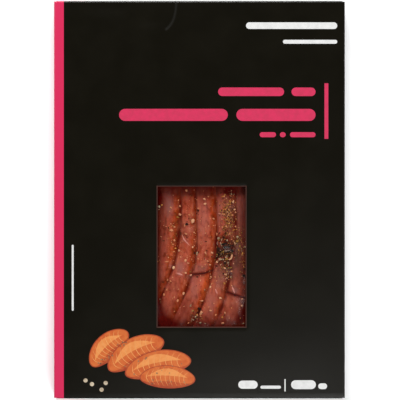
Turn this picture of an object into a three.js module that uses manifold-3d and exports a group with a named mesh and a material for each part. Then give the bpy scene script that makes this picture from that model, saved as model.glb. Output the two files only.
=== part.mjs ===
// A flat pack of smoked salmon strips: a folded card carton with a window in its front panel, and in it a
// clear sealed pouch that holds peppered strips of fish. It lies on its back panel with the front panel up.
// Millimetres. +X runs across the front panel, +Y up it, +Z out of it. The origin is the middle of the back.

import * as THREE from "three";
import { mergeVertices } from "three/addons/utils/BufferGeometryUtils.js";
import Module from "manifold-3d";

// Carton
const PACK_WIDTH = 150;
const PACK_LENGTH = 205;
const EDGE_HEIGHT = 11;
const CROWN = 1.2; // how far the contents push the middle of the front panel out
const CARD = 0.6;
const FOLD_RADIUS = 1.4;
const PANEL_SEGMENTS = 8; // across the crowned panel
const LENGTH_STEPS = 12; // between the two end folds

// Window
const WINDOW_WIDTH = 46.8;
const WINDOW_LENGTH = 73.2;
const WINDOW_X = 1.2;
const WINDOW_Y = -29.1;
const WINDOW_CORNER = 0.6;

// Edges of the glued end flaps and of the seam along the back, which show as fine grooves
const GROOVE_WIDTH = 0.4;
const GROOVE_DEPTH = 0.25;
const FLAP_INSET = 1.3;
const BACK_SEAM_INSET = 16;

// Pouch
const CLEARANCE = 0.3;
const POUCH_WIDTH = 138;
const POUCH_LENGTH = 193;
const POUCH_CORNER = 4;
const POUCH_BASE = 0.9;
const POCKET_WIDTH = 84;
const POCKET_LENGTH = 147;
const POCKET_CORNER = 9;
const POCKET_X = -4;
const POCKET_Y = -15;
const SHOULDER_HEIGHT = 5.4;
const SHOULDER_FOOT = 8; // how far the film runs out from the pocket to the flat margin
const SHOULDER_TOP = 2;

// Fish
const LEAN = 0.22; // all the strips lean on their right-hand neighbours
const SQUARENESS = 3.2; // exponent of the section's superellipse
const AROUND = 14;
const MM_PER_RING = 6;
const END_TAPER = 5;
const CUT_TAPER = 2;
const END_SIZE = 0.5;
const WAVE_HEIGHT = 0.35;
const WAVE_LENGTH = 37;
const FLANK_FROM = 0.15; // share of the half width where a flank starts to slope
const SLANT_REACH = 12; // how far from a slanting cut the strip still leans with it

// Pepper
const GRAIN_FLATNESS = 0.72;
const GRAIN_UNEVENNESS = 0.3;
const GRAIN_TILT = 0.25; // radians either way
const GRAIN_SINK = 0.2; // share of a grain's radius that its middle lies below the skin
const FIRST_SEED = 41;

const cardMaterial = new THREE.MeshStandardMaterial({ color: 0x15140f, roughness: 0.42, metalness: 0 });
const filmMaterial = new THREE.MeshStandardMaterial({ color: 0xd9dcdd, roughness: 0.12, metalness: 0 });
const fishMaterial = new THREE.MeshStandardMaterial({ color: 0xa5523f, roughness: 0.35, metalness: 0 });

const wasm = await Module();
wasm.setup();

// ---- Solids and meshes

function toSolid(geometry) {
  const bare = geometry.clone();
  bare.deleteAttribute("normal");
  bare.deleteAttribute("uv");
  const merged = mergeVertices(bare, 1e-4);
  return new wasm.Manifold(
    new wasm.Mesh({
      numProp: 3,
      vertProperties: merged.attributes.position.array,
      triVerts: new Uint32Array(merged.index.array),
    }),
  );
}

function toGeometry(solid) {
  const { vertProperties, triVerts } = solid.getMesh();
  const geometry = new THREE.BufferGeometry();
  geometry.setAttribute("position", new THREE.BufferAttribute(vertProperties, 3));
  geometry.setIndex(new THREE.BufferAttribute(triVerts, 1));
  geometry.computeVertexNormals();
  return geometry;
}

function namedMesh(name, solid, material) {
  const mesh = new THREE.Mesh(toGeometry(solid), material);
  mesh.name = name;
  return mesh;
}

// Moves every vertex of a geometry to where place(x, y, z) says.
function reshape(geometry, place) {
  const position = geometry.attributes.position;
  const vertex = new THREE.Vector3();
  for (let i = 0; i < position.count; i++) {
    vertex.fromBufferAttribute(position, i);
    const [x, y, z] = place(vertex.x, vertex.y, vertex.z);
    position.setXYZ(i, x, y, z);
  }
  return geometry;
}

// A rectangle with round corners, centred on the origin. Its upper edge has the given number of segments.
function roundedRectangle(width, height, radius, upperSegments = 1) {
  const right = width / 2;
  const top = height / 2;
  const shape = new THREE.Shape();
  shape.moveTo(-right + radius, -top);
  shape.lineTo(right - radius, -top);
  shape.absarc(right - radius, -top + radius, radius, -Math.PI / 2, 0);
  shape.lineTo(right, top - radius);
  shape.absarc(right - radius, top - radius, radius, 0, Math.PI / 2);
  for (let i = 1; i <= upperSegments; i++) {
    shape.lineTo(THREE.MathUtils.lerp(right - radius, radius - right, i / upperSegments), top);
  }
  shape.absarc(-right + radius, top - radius, radius, Math.PI / 2, Math.PI);
  shape.lineTo(-right, -top + radius);
  shape.absarc(-right + radius, -top + radius, radius, Math.PI, Math.PI * 1.5);
  return shape;
}

function box(width, length, height, x, y, z) {
  return toSolid(new THREE.BoxGeometry(width, length, height).translate(x, y, z));
}

// ---- Carton

function crownAt(x, y) {
  const across = 1 - (2 * x / PACK_WIDTH) ** 2;
  const along = 1 - (2 * y / PACK_LENGTH) ** 2;
  return CROWN * Math.max(0, across) * Math.max(0, along);
}

// How far a face has turned in at y, over the fold at either end of a block.
function endTurn(y, length, radius) {
  const past = Math.min(radius, Math.abs(y) - (length / 2 - radius));
  return past <= 0 ? 0 : radius - Math.sqrt(radius ** 2 - past ** 2);
}

// A block as large as the carton less an inset on every side, with round folds and the front panel's crown.
function crownedBlock(inset) {
  const width = PACK_WIDTH - 2 * inset;
  const length = PACK_LENGTH - 2 * inset;
  const height = EDGE_HEIGHT - 2 * inset;
  const radius = FOLD_RADIUS - inset;
  const foldSteps = 2;
  const steps = LENGTH_STEPS + 2 * foldSteps;
  const section = roundedRectangle(width, height, radius, PANEL_SEGMENTS);
  const block = new THREE.ExtrudeGeometry(section, {
    depth: steps,
    steps,
    curveSegments: 3,
    bevelEnabled: false,
  });
  block.rotateX(Math.PI / 2).translate(0, steps, 0);
  const straight = length - 2 * radius;
  return reshape(block, (x, step, z) => {
    const fromEnd = Math.min(step, steps - step);
    const side = step < steps / 2 ? -1 : 1;
    const turned = (Math.PI / 2) * (1 - fromEnd / foldSteps);
    const y = fromEnd < foldSteps
      ? side * (straight / 2 + radius * Math.sin(turned))
      : straight * ((step - foldSteps) / LENGTH_STEPS - 0.5);
    const share = z / height + 0.5;
    const turn = endTurn(y, length, radius) * (1 - 2 * share);
    return [x, y, EDGE_HEIGHT / 2 + z + turn + share * crownAt(x, y)];
  });
}

function windowCut() {
  const outline = roundedRectangle(WINDOW_WIDTH, WINDOW_LENGTH, WINDOW_CORNER);
  const depth = EDGE_HEIGHT;
  const prism = new THREE.ExtrudeGeometry(outline, { depth, curveSegments: 3, bevelEnabled: false });
  return toSolid(prism.translate(WINDOW_X, WINDOW_Y, EDGE_HEIGHT - CARD - CROWN));
}

// Three sides of the glued flap on one end, seen as grooves in the end wall.
function flapGrooves(side) {
  const y = side * (PACK_LENGTH / 2);
  const flapWidth = PACK_WIDTH - 2 * (FOLD_RADIUS + FLAP_INSET);
  const depth = 2 * GROOVE_DEPTH;
  const low = FOLD_RADIUS + FLAP_INSET / 2;
  const rise = EDGE_HEIGHT - FOLD_RADIUS - low;
  const middle = low + rise / 2;
  return box(flapWidth + GROOVE_WIDTH, depth, GROOVE_WIDTH, 0, y, low)
    .add(box(GROOVE_WIDTH, depth, rise, -flapWidth / 2, y, middle))
    .add(box(GROOVE_WIDTH, depth, rise, flapWidth / 2, y, middle));
}

function backSeam() {
  const x = BACK_SEAM_INSET - PACK_WIDTH / 2;
  const length = PACK_LENGTH - 2 * FOLD_RADIUS;
  return box(GROOVE_WIDTH, length, 2 * GROOVE_DEPTH, x, 0, 0);
}

function cartonSolid() {
  return toSolid(crownedBlock(0))
    .subtract(toSolid(crownedBlock(CARD)))
    .subtract(windowCut())
    .subtract(flapGrooves(-1))
    .subtract(flapGrooves(1))
    .subtract(backSeam());
}

// ---- Pouch: flat sealed margins, with shoulders that rise round the pocket where the fish lies

function slab(width, length, corner, height, z) {
  const outline = roundedRectangle(width, length, corner);
  const plate = new THREE.ExtrudeGeometry(outline, { depth: height, curveSegments: 4, bevelEnabled: false });
  return plate.translate(0, 0, z);
}

function shoulders(z) {
  const spread = 2 * SHOULDER_FOOT;
  const foot = slab(
    POCKET_WIDTH + spread,
    POCKET_LENGTH + spread,
    POCKET_CORNER + SHOULDER_FOOT,
    SHOULDER_HEIGHT,
    0,
  );
  const drawIn = SHOULDER_FOOT - SHOULDER_TOP;
  return reshape(foot, (x, y, height) => {
    const drawn = (drawIn * height) / SHOULDER_HEIGHT;
    const acrossShare = 1 - drawn / (POCKET_WIDTH / 2 + SHOULDER_FOOT);
    const alongShare = 1 - drawn / (POCKET_LENGTH / 2 + SHOULDER_FOOT);
    return [POCKET_X + x * acrossShare, POCKET_Y + y * alongShare, z + height];
  });
}

function pouchSolid() {
  const low = CARD + CLEARANCE;
  const floor = low + POUCH_BASE;
  const pocket = slab(POCKET_WIDTH, POCKET_LENGTH, POCKET_CORNER, EDGE_HEIGHT, floor);
  return toSolid(slab(POUCH_WIDTH, POUCH_LENGTH, POUCH_CORNER, POUCH_BASE, low))
    .add(toSolid(shoulders(floor - CLEARANCE)))
    .subtract(toSolid(pocket.translate(POCKET_X, POCKET_Y, 0)));
}

// ---- Strips of fish, each between two seams that run down the pouch

// Where each seam lies across the pack, at these places along it, from the top down. The strips hang
// straight at first, and then sweep aside.
const STATIONS = [60, -8, -20, -32, -42, -52, -62, -90];
const SEAMS = {
  outerLeft: [-23.8, -23.8, -23.8, -24.6, -26.6, -29.6, -32.8, -39.6],
  firstSecond: [-10, -9.1, -10.3, -12.2, -15.9, -19.8, -22.6, -31],
  secondThird: [-2.2, -1.2, -0.9, -1.9, -4.4, -8.3, -13, -23.2],
  thirdFourth: [8, 9.4, 9.5, 8.4, 6, 3, -1.6, -12.6],
  fourthFifth: [18.6, 19.5, 18.9, 17.2, 15.5, 13.3, 9.5, -2],
  outerRight: [29.4, 29.4, 29.2, 28.4, 27.4, 26, 24.2, 19],
};

// low and high are the strip's two ends along Y. cutLow and cutHigh are ends cut square, at the given slant.
const STRIPS = [
  {
    name: "strip_1", left: "outerLeft", right: "firstSecond",
    low: -82, high: 50, top: 9.2, flank: 1.1, leftFlank: 2.6,
  },
  {
    name: "strip_2", left: "firstSecond", right: "secondThird",
    low: -85, high: 54, top: 9, flank: 1.4,
  },
  {
    name: "strip_3", left: "secondThird", right: "thirdFourth",
    low: -37.9, high: 56, top: 9.8, flank: 2, cutLow: 0.1,
  },
  {
    name: "strip_4", left: "thirdFourth", right: "fourthFifth",
    low: -26.6, high: 51, top: 9.3, flank: 0.8,
  },
  {
    name: "strip_5", left: "fourthFifth", right: "outerRight",
    low: -49.2, high: 47, top: 8.7, flank: 0.9, cutLow: -0.29,
  },
  {
    name: "strip_6", left: "secondThird", right: "thirdFourth",
    low: -86, high: -38.5, top: 9.1, flank: 1.7, cutHigh: 0.1,
  },
  {
    name: "strip_7", left: "thirdFourth", right: "fourthFifth",
    low: -84, high: -29, top: 9.2, flank: 1.2,
  },
  {
    name: "strip_8", left: "fourthFifth", right: "outerRight",
    low: -81, high: -49.8, top: 8.9, flank: 2.8, cutHigh: -0.29,
  },
];

// The larger grains of pepper on each strip: x, y and radius.
const GRAINS = {
  strip_1: [
    [-21, -3.5, 0.78], [-14.5, -4.2, 0.72], [-9.9, -3.3, 0.67], [-9.9, -7.5, 0.83], [-11.1, -9, 0.65],
    [-14.6, -15.7, 0.83], [-12.9, -13.9, 0.62], [-13.1, -20.9, 0.65], [-13.5, -23.1, 0.65],
    [-13.2, -26.7, 0.59], [-16.8, -31.9, 0.77], [-16.6, -41.3, 0.59],
  ],
  strip_2: [
    [-3.4, -11, 1.06], [-6.3, -12.4, 0.91], [-6.7, 4.7, 0.67], [-6.7, -17.5, 0.7], [-2.9, -16.9, 0.65],
    [-9.7, -17.2, 0.62], [-10.6, -26.3, 0.75], [-2.7, -27.5, 0.59], [-7.2, -31.4, 0.72],
    [-13.3, -35.1, 0.78], [-4.5, -38.9, 0.67], [-5.8, -32.7, 0.59], [-14.9, -41.9, 0.59],
    [-18.3, -49, 0.62], [-20.2, -52.6, 0.78], [-8.2, -48.4, 0.7], [-11.2, -52.1, 0.65],
  ],
  strip_3: [
    [-0.7, -5.6, 0.62], [2.6, 0.4, 0.7], [2.9, -2, 0.78], [7.2, -9.8, 0.65], [-1.3, -27.9, 0.8],
    [9, -17.7, 0.62], [2.9, -27.3, 0.75], [6.6, -27.3, 0.7],
  ],
  strip_4: [
    [12.7, -7.5, 0.62], [10.9, -7.1, 0.74], [16, -0.6, 0.72], [17.4, -1.2, 0.77], [18.2, -5, 0.62],
    [15.1, -5.5, 0.67], [11.7, -14.1, 0.67], [13.9, -13.9, 0.7], [16.3, 1.3, 0.78], [17.5, -15.6, 0.62],
    [10, -19.8, 0.83], [10.5, -17.4, 0.59], [12.5, -22.8, 0.96], [11.1, -23, 0.83], [10, -25.1, 0.67],
    [11, -26.1, 0.62], [15, -24.3, 1.01], [14.9, -26.2, 0.65], [13.9, -27.3, 0.7], [17.5, -25.2, 0.7],
    [15.5, -17.7, 0.59],
  ],
  strip_5: [
    [16.3, -34.9, 0.65], [19.3, -21.5, 0.8], [19.7, -19.2, 0.59], [23.1, -38.9, 0.7],
  ],
  strip_6: [
    [-1.1, -39.7, 0.59], [6.1, -39.8, 0.62], [-4.6, -54.8, 0.85], [-3.5, -57.3, 0.62], [0, -56.1, 0.91],
    [-5.7, -63.6, 0.62], [0.4, -41.7, 0.62], [1.1, -52.1, 0.78],
  ],
  strip_7: [
    [12.6, -30.7, 0.7], [13.9, -29.4, 0.75], [11.2, -30.9, 0.59], [16.7, -29.4, 0.88], [9, -32.3, 0.78],
    [13.2, -35.2, 0.8], [14.8, -35.2, 0.65], [13.4, -38.5, 0.62], [8.9, -34.1, 0.65],
    [0.9, -58.5, 1.06], [0, -60.5, 0.59], [0.4, -63.8, 0.83], [6.3, -43.2, 0.59], [5.7, -45, 0.59],
    [12.9, -43.1, 0.62], [11, -50.7, 0.8], [5.9, -57.1, 0.67],
  ],
  strip_8: [
    [11.8, -60.8, 0.65], [12.1, -63.9, 0.72],
  ],
};

const FISH_BASE = CARD + CLEARANCE + POUCH_BASE + CLEARANCE;

// The seam's place across the pack at y, on a smooth curve through its stations.
function seamX(name, y) {
  const places = SEAMS[name];
  const last = STATIONS.length - 1;
  const below = STATIONS.findIndex((station) => station < y);
  const k = THREE.MathUtils.clamp(below < 0 ? last : below, 1, last) - 1;
  const slope = (i) => {
    const before = Math.max(0, i - 1);
    const after = Math.min(last, i + 1);
    return (places[after] - places[before]) / (STATIONS[after] - STATIONS[before]);
  };
  const span = STATIONS[k + 1] - STATIONS[k];
  const t = (y - STATIONS[k]) / span;
  const start = (1 + 2 * t) * (1 - t) ** 2 * places[k] + t * (1 - t) ** 2 * span * slope(k);
  return start + t ** 2 * (3 - 2 * t) * places[k + 1] - t ** 2 * (1 - t) * span * slope(k + 1);
}

// The share of its full section that a strip has at y: it narrows to a rounded tip, or is cut nearly square.
function taperAt(strip, y) {
  const lowTaper = strip.cutLow ? CUT_TAPER : END_TAPER;
  const highTaper = strip.cutHigh ? CUT_TAPER : END_TAPER;
  const past = Math.max((strip.low + lowTaper - y) / lowTaper, (y - strip.high + highTaper) / highTaper, 0);
  return END_SIZE + (1 - END_SIZE) * Math.sqrt(1 - Math.min(1, past) ** 2);
}

// A point of the strip's skin. across and up run from -1 to 1 over the section, y along the strip.
function skinPoint(strip, across, up, y) {
  const { smoothstep } = THREE.MathUtils;
  const slant = (strip.cutLow ?? 0) * smoothstep(-y, -strip.low - SLANT_REACH, -strip.low)
    + (strip.cutHigh ?? 0) * smoothstep(y, strip.high - SLANT_REACH, strip.high);
  const taper = taperAt(strip, y);
  const nominalHalf = (seamX(strip.right, y) - seamX(strip.left, y)) / 2;
  const slantedY = y + slant * across * nominalHalf;
  const left = seamX(strip.left, slantedY) + CLEARANCE / 2;
  const right = seamX(strip.right, slantedY) - CLEARANCE / 2;
  const middle = (left + right) / 2;
  const wave = WAVE_HEIGHT * Math.sin((slantedY / WAVE_LENGTH + strip.top) * 2 * Math.PI);
  const flank = strip.flank * Math.max(0, across - FLANK_FROM)
    + (strip.leftFlank ?? 0) * Math.max(0, -across - FLANK_FROM);
  const height = (strip.top + wave - FISH_BASE) * taper - flank * taper;
  const z = FISH_BASE + (height * (up + 1)) / 2;
  const lean = LEAN * (z - (FISH_BASE + EDGE_HEIGHT) / 2);
  return new THREE.Vector3(middle + (right - left) / 2 * across * taper - lean, slantedY, z);
}

function squared(value) {
  return Math.sign(value) * Math.abs(value) ** (2 / SQUARENESS);
}

function stripBody(strip) {
  const rings = Math.round((strip.high - strip.low) / MM_PER_RING) + 4;
  const tube = new THREE.CylinderGeometry(1, 1, 2, AROUND, rings);
  const middle = (strip.high + strip.low) / 2;
  const half = (strip.high - strip.low) / 2;
  return reshape(tube, (x, along, z) => {
    const size = Math.hypot(x, z) || 1;
    const y = middle + half * Math.sin((along * Math.PI) / 2);
    const rim = Math.hypot(x, z) > 0 ? 1 : 0;
    const point = skinPoint(strip, rim * squared(x / size), rim * squared(z / size), y);
    return [point.x, point.y, point.z];
  });
}

// ---- Crushed pepper, pressed into the upper side of each strip

function seededRandom(seed) {
  let state = seed;
  return () => {
    state = (state * 1664525 + 1013904223) % 2 ** 32;
    return state / 2 ** 32;
  };
}

function grainAt(place, radius, random) {
  const grain = new THREE.IcosahedronGeometry(radius, 0);
  grain.scale(1, 1 - GRAIN_UNEVENNESS * random(), GRAIN_FLATNESS);
  grain.rotateX(GRAIN_TILT * (2 * random() - 1)).rotateZ(random() * Math.PI);
  return toSolid(grain.translate(place.x, place.y, place.z - GRAIN_SINK * radius));
}

// A point of the strip's upper side, where across runs from -1 to 1 over its width.
function upperSide(strip, across, y) {
  return skinPoint(strip, across, (1 - Math.abs(across) ** SQUARENESS) ** (1 / SQUARENESS), y);
}

// How far across the strip's upper side x lies at y.
function acrossAt(strip, x, y) {
  let low = -1;
  let high = 1;
  while (high - low > 1e-4) {
    const middle = (low + high) / 2;
    if (upperSide(strip, middle, y).x < x) {
      low = middle;
    } else {
      high = middle;
    }
  }
  return low;
}

// Where a grain rests, moved in from the strip's edges and ends where it would touch a neighbour.
function restingPlace(strip, [x, y, radius]) {
  const { clamp } = THREE.MathUtils;
  const inset = radius + CLEARANCE;
  const kept = clamp(y, strip.low + inset, strip.high - inset);
  const width = upperSide(strip, 1, kept).x - upperSide(strip, -1, kept).x;
  const reach = 1 - (2 * inset) / width;
  return upperSide(strip, clamp(acrossAt(strip, x, kept), -reach, reach), kept);
}

function stripSolid(strip, index) {
  const random = seededRandom(FIRST_SEED + index);
  let solid = toSolid(stripBody(strip));
  for (const grain of GRAINS[strip.name]) {
    solid = solid.add(grainAt(restingPlace(strip, grain), grain[2], random));
  }
  return solid;
}

// ---- The pack

const pack = new THREE.Group();
pack.add(namedMesh("carton", cartonSolid(), cardMaterial));
pack.add(namedMesh("pouch", pouchSolid(), filmMaterial));
const fish = new THREE.Group();
STRIPS.forEach((strip, index) => fish.add(namedMesh(strip.name, stripSolid(strip, index), fishMaterial)));
pack.add(fish);

export default pack;
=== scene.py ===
import math
import random

import bmesh
import bpy
import numpy as np
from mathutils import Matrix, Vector, noise
from mathutils.bvhtree import BVHTree


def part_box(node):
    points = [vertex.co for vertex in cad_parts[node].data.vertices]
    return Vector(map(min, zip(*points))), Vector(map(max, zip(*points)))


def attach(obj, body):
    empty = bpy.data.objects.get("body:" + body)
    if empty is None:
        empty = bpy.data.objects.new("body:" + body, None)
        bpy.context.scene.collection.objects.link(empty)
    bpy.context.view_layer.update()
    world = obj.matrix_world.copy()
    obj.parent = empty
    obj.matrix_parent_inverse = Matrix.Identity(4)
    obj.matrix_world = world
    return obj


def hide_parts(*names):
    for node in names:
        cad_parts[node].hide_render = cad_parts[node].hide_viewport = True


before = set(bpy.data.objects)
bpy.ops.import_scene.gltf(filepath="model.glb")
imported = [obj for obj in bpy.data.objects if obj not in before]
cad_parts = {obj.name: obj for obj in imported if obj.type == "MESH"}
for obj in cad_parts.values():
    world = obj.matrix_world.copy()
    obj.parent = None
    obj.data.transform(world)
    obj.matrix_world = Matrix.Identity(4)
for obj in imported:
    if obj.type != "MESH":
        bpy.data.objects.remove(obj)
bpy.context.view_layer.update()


# ==== Strips of fish ====
# Smoked salmon cut along the fillet into strips about a centimetre wide. They lie side by side in the
# pouch, hang straight for half their length and sweep aside below, and three of them are cut across in
# the window. The film presses their upper faces flat.

MM = 0.001  # every length before the studio is in millimetres
FISH_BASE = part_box("strip_1")[0].z / MM
FISH_TOP = 11.0
SEAM_TOP = 8.4  # where two neighbours' upper faces meet
GAP = 0.02
LEAN = 0.22  # how far a side leans over for each millimetre of height
CORNER = (0.012, 0.02)  # rounding of the section, as shares of its half width and half height
END_TAPER = 5.0  # how long the tips are, at an end and at a cut
CUT_TAPER = 0.8
END_SIZE = 0.5  # share of the full section that is left at an end
CUT_SIZE = 0.95
WAVE_HEIGHT = 0.35
WAVE_LENGTH = 37.0
WAVE_SHIFT = 0.37  # share of a wave from one column of fish to the next
FLANK_FROM = 0.15  # where across the half width the upper face begins to fall
SLANT_REACH = 12.0  # how far from a cut its slant dies away
RING_STEP = 0.55  # how far apart a strip's rings of points lie
ACROSS_TOP = 36  # steps over the top of a ring
FIBRE_HEIGHT = 0.13
LUMP_HEIGHT = 0.34
PIT_HEIGHT = 0.16
FLAKE_HEIGHT = 0.12
FLAKE_LENGTH = 6.5

STATIONS = [60, -8, -20, -32, -42, -52, -62, -90]
SEAMS = {  # where each seam lies across the pack, at the stations
    "outer_left": [-23.8, -23.8, -23.8, -24.6, -26.6, -29.6, -32.8, -39.6],
    "first_second": [-10, -9.1, -10.3, -12.2, -15.9, -19.8, -22.6, -31],
    "second_third": [-2.2, -1.2, -0.9, -1.9, -4.4, -8.3, -13, -23.2],
    "third_fourth": [8, 9.4, 9.5, 8.4, 6, 3, -1.6, -12.6],
    "fourth_fifth": [18.6, 19.5, 18.9, 17.2, 15.5, 13.3, 9.5, -2],
    "outer_right": [29.4, 29.4, 29.2, 28.4, 27.4, 26, 24.2, 19],
}

STRIPS = [  # the seams on either side, the ends, the crest, and how an end was cut
    dict(name="strip_1", left="outer_left", right="first_second", low=-82, high=50, top=9.2,
         orange=0.85, left_drop=1.9),
    dict(name="strip_2", left="first_second", right="second_third", low=-85, high=54, top=9.1),
    dict(name="strip_3", left="second_third", right="third_fourth", low=-38.11, high=56, top=9.4,
         cut_low=0.1, cut_rise=1.2),
    dict(name="strip_4", left="third_fourth", right="fourth_fifth", low=-26.6, high=51, top=9.2,
         orange=0.65),
    dict(name="strip_5", left="fourth_fifth", right="outer_right", low=-49.46, high=47, top=9.0,
         orange=0.8, right_drop=0.5, cut_low=-0.29),
    dict(name="strip_6", left="second_third", right="third_fourth", low=-86, high=-38.29, top=9.3,
         cut_high=0.1, cut_rise=1.2),
    dict(name="strip_7", left="third_fourth", right="fourth_fifth", low=-84, high=-29, top=9.2),
    dict(name="strip_8", left="fourth_fifth", right="outer_right", low=-81, high=-49.54, top=9.0,
         right_drop=1.5, cut_high=-0.29),
]

PAINTED_SHEENS = [  # middle across and along, half width, half length, strength: where a mauve sheen of the film is painted on the flesh
    (-15.5, -2.0, 2.8, 6.5, 1.0),
    (19.8, -31.0, 3.0, 9.0, 0.8),
    (18.5, -47.3, 1.6, 2.6, 1.0),
    (-10.0, -35.0, 2.6, 3.6, 0.8),
    (1.8, -10.4, 2.8, 10.0, 0.5),
    (0.8, -35.4, 4.2, 2.2, 0.6),
    (-2.8, -45.5, 1.8, 6.0, 0.7),
    (9.8, -37.5, 2.0, 4.5, 0.6),
    (6.0, -51.7, 3.0, 4.0, 0.5),
    (6.0, -58.0, 3.0, 4.5, 0.35),
    (22.0, -5.0, 3.4, 10.0, 1.0),
    (10.6, -5.0, 1.6, 9.0, 0.5),
]
BLUSHES = [  # the same for the clearest, brightest flesh
    (-13.4, -25.0, 2.6, 7.0, 0.6),
    (-9.5, -35.0, 3.6, 5.0, 0.6),
    (-19.6, -38.0, 3.4, 8.5, 1.0),
    (3.2, -13.5, 2.4, 8.0, 0.7),
    (3.0, -44.0, 3.6, 6.0, 1.0),
    (2.5, -34.0, 4.5, 2.5, 0.5),
    (3.0, -52.0, 3.0, 5.0, 0.5),
    (8.0, -57.0, 3.0, 5.0, 0.4),
]
STAINS_AND_SHADE = [  # the same for places that smoke and spice have browned, and for brown painted shade on the low strip at the right and by the window's upper left corner
    (22.5, -6.0, 4.2, 15.0, 0.64),
    (21.0, -24.0, 3.6, 9.0, 1.0),
    (15.8, -9.0, 2.8, 13.0, 0.9),
    (13.0, -27.5, 4.5, 5.5, 0.9),
    (15.5, -37.0, 2.2, 5.0, 0.5),
    (-10.0, -14.0, 2.2, 10.0, 0.4),
    (-17.5, -16.0, 1.6, 9.0, 0.3),
    (-2.0, -60.5, 3.0, 3.0, 0.6),
    (22.5, -47.0, 1.6, 10.0, 0.5),
    (21.5, -35.5, 3.6, 8.0, 0.9),
    (15.5, -41.0, 2.6, 8.0, 0.3),
    (11.0, -39.5, 4.0, 8.0, 0.5),
    (-20.5, -1.0, 3.0, 4.5, 1.0),
    (15.5, -53.0, 5.0, 10.0, 0.25),
]
PAINTED_SHADOWS = [  # the same for deep red painted shade, where the flesh lies in shadow
    (-22.2, -58.5, 5.2, 9.0, 0.95),
    (-7.0, -54.0, 3.0, 5.5, 0.42),
    (-13.2, -44.5, 3.0, 6.0, 0.3),
    (-23.8, -52.0, 3.6, 6.5, 0.95),
    (-22.5, -20.0, 3.0, 10.0, 0.6),
    (-18.5, -65.0, 8.5, 4.8, 1.0),
    (-11.0, -58.5, 7.0, 4.5, 0.3),
    (13.5, -20.0, 2.4, 2.4, 0.6),
    (-8.0, -65.5, 9.0, 4.5, 0.5),
    (-23.0, 1.5, 5.5, 9.0, 1.4),
    (15.2, 4.8, 4.8, 3.8, 1.3),
    (25.0, -52.5, 3.4, 6.0, 0.9),
    (21.5, -61.5, 6.0, 7.0, 1.0),
    (13.0, -27.0, 3.6, 6.5, 0.9),
    (14.8, -32.5, 2.6, 3.6, 0.5),
    (9.8, -31.8, 1.4, 2.4, 0.7),
]
WINDOW_EDGE_SHADOWS = [  # axis, where the painted shade under the window's edge begins, where it is darkest, strength
    (1, -6.0, 7.0, 0.90),
    (1, -53.5, -66.0, 0.92),
    (0, -14.5, -23.0, 0.95),
    (0, 17.0, 24.0, 0.72),
]


def seam_x(name, y):
    """A seam's place across the pack at y, on a smooth curve through its stations."""
    places = np.array(SEAMS[name], dtype=float)
    stations = np.array(STATIONS, dtype=float)
    y = np.asarray(y, dtype=float)
    k = np.clip(np.searchsorted(-stations, -y, side="right") - 1, 0, len(places) - 2)
    before = np.maximum(0, np.arange(len(places)) - 1)
    after = np.minimum(len(places) - 1, np.arange(len(places)) + 1)
    slope = (places[after] - places[before]) / (stations[after] - stations[before])
    span = stations[k + 1] - stations[k]
    t = (y - stations[k]) / span
    start = (1 + 2 * t) * (1 - t) ** 2 * places[k] + t * (1 - t) ** 2 * span * slope[k]
    return start + t**2 * (3 - 2 * t) * places[k + 1] - t**2 * (1 - t) * span * slope[k + 1]


def smoothstep(value, low, high):
    """0 at low and 1 at high, with soft ends. Low may be the larger."""
    share = np.clip((value - low) / (high - low), 0.0, 1.0)
    return share * share * (3 - 2 * share)


def taper_at(strip, y):
    """The share of its full section that a strip has at y."""
    low_taper = CUT_TAPER if "cut_low" in strip else END_TAPER
    high_taper = CUT_TAPER if "cut_high" in strip else END_TAPER
    past_low = (strip["low"] + low_taper - y) / low_taper
    past_high = (y - strip["high"] + high_taper) / high_taper
    past = np.clip(np.maximum(past_low, past_high), 0.0, 1.0)
    cut = np.where(past_low > past_high, "cut_low" in strip, "cut_high" in strip)
    size = np.where(cut, CUT_SIZE, END_SIZE)
    return size + (1 - size) * np.sqrt(1 - past**2)


def drops(strip, across, y):
    """A strip's crest, and how far it falls on its left and right: to its neighbour, or by its own drop."""
    column = list(SEAMS).index(strip["left"])
    crest = strip["top"] + WAVE_HEIGHT * np.sin((y / WAVE_LENGTH + WAVE_SHIFT * column) * 2 * math.pi)
    left, right = (np.clip((side * across - FLANK_FROM) / (1 - FLANK_FROM), 0, 1) for side in (-1, 1))
    left = strip["left_drop"] * left if "left_drop" in strip else (crest - SEAM_TOP) * left**4
    right = strip["right_drop"] * right if "right_drop" in strip else (crest - SEAM_TOP) * right**2
    return crest, left, right


def from_cut(strip, y):
    """How far along a strip a point lies from its cut end."""
    if "cut_low" in strip:
        return y - strip["low"]
    return strip["high"] - y if "cut_high" in strip else np.full_like(y, 99.0)


def section():
    """A rectangle with rounded corners, from -1 to 1 each way, with most of its points along the top."""
    wide, tall = 1 - CORNER[0], 1 - CORNER[1]
    turned = np.linspace(0, math.pi / 2, 7)
    sides = [  # the corner before each side, its two ends, and the steps along it
        ((1, 1), (wide, 1), (-wide, 1), ACROSS_TOP),
        ((-1, 1), (-1, tall), (-1, -tall), 8),
        ((-1, -1), (-wide, -1), (wide, -1), 12),
        ((1, -1), (1, -tall), (1, tall), 8),
    ]
    points = []
    for quarter, ((side, level), start, end, steps) in enumerate(sides):
        angle = turned + quarter * math.pi / 2
        rounded = side * wide + CORNER[0] * np.cos(angle), level * tall + CORNER[1] * np.sin(angle)
        points += list(zip(*rounded))
        start, end = np.array(start), np.array(end)
        points += [tuple(start + (end - start) * k / steps) for k in range(1, steps)]
    return np.array(points).T


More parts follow.
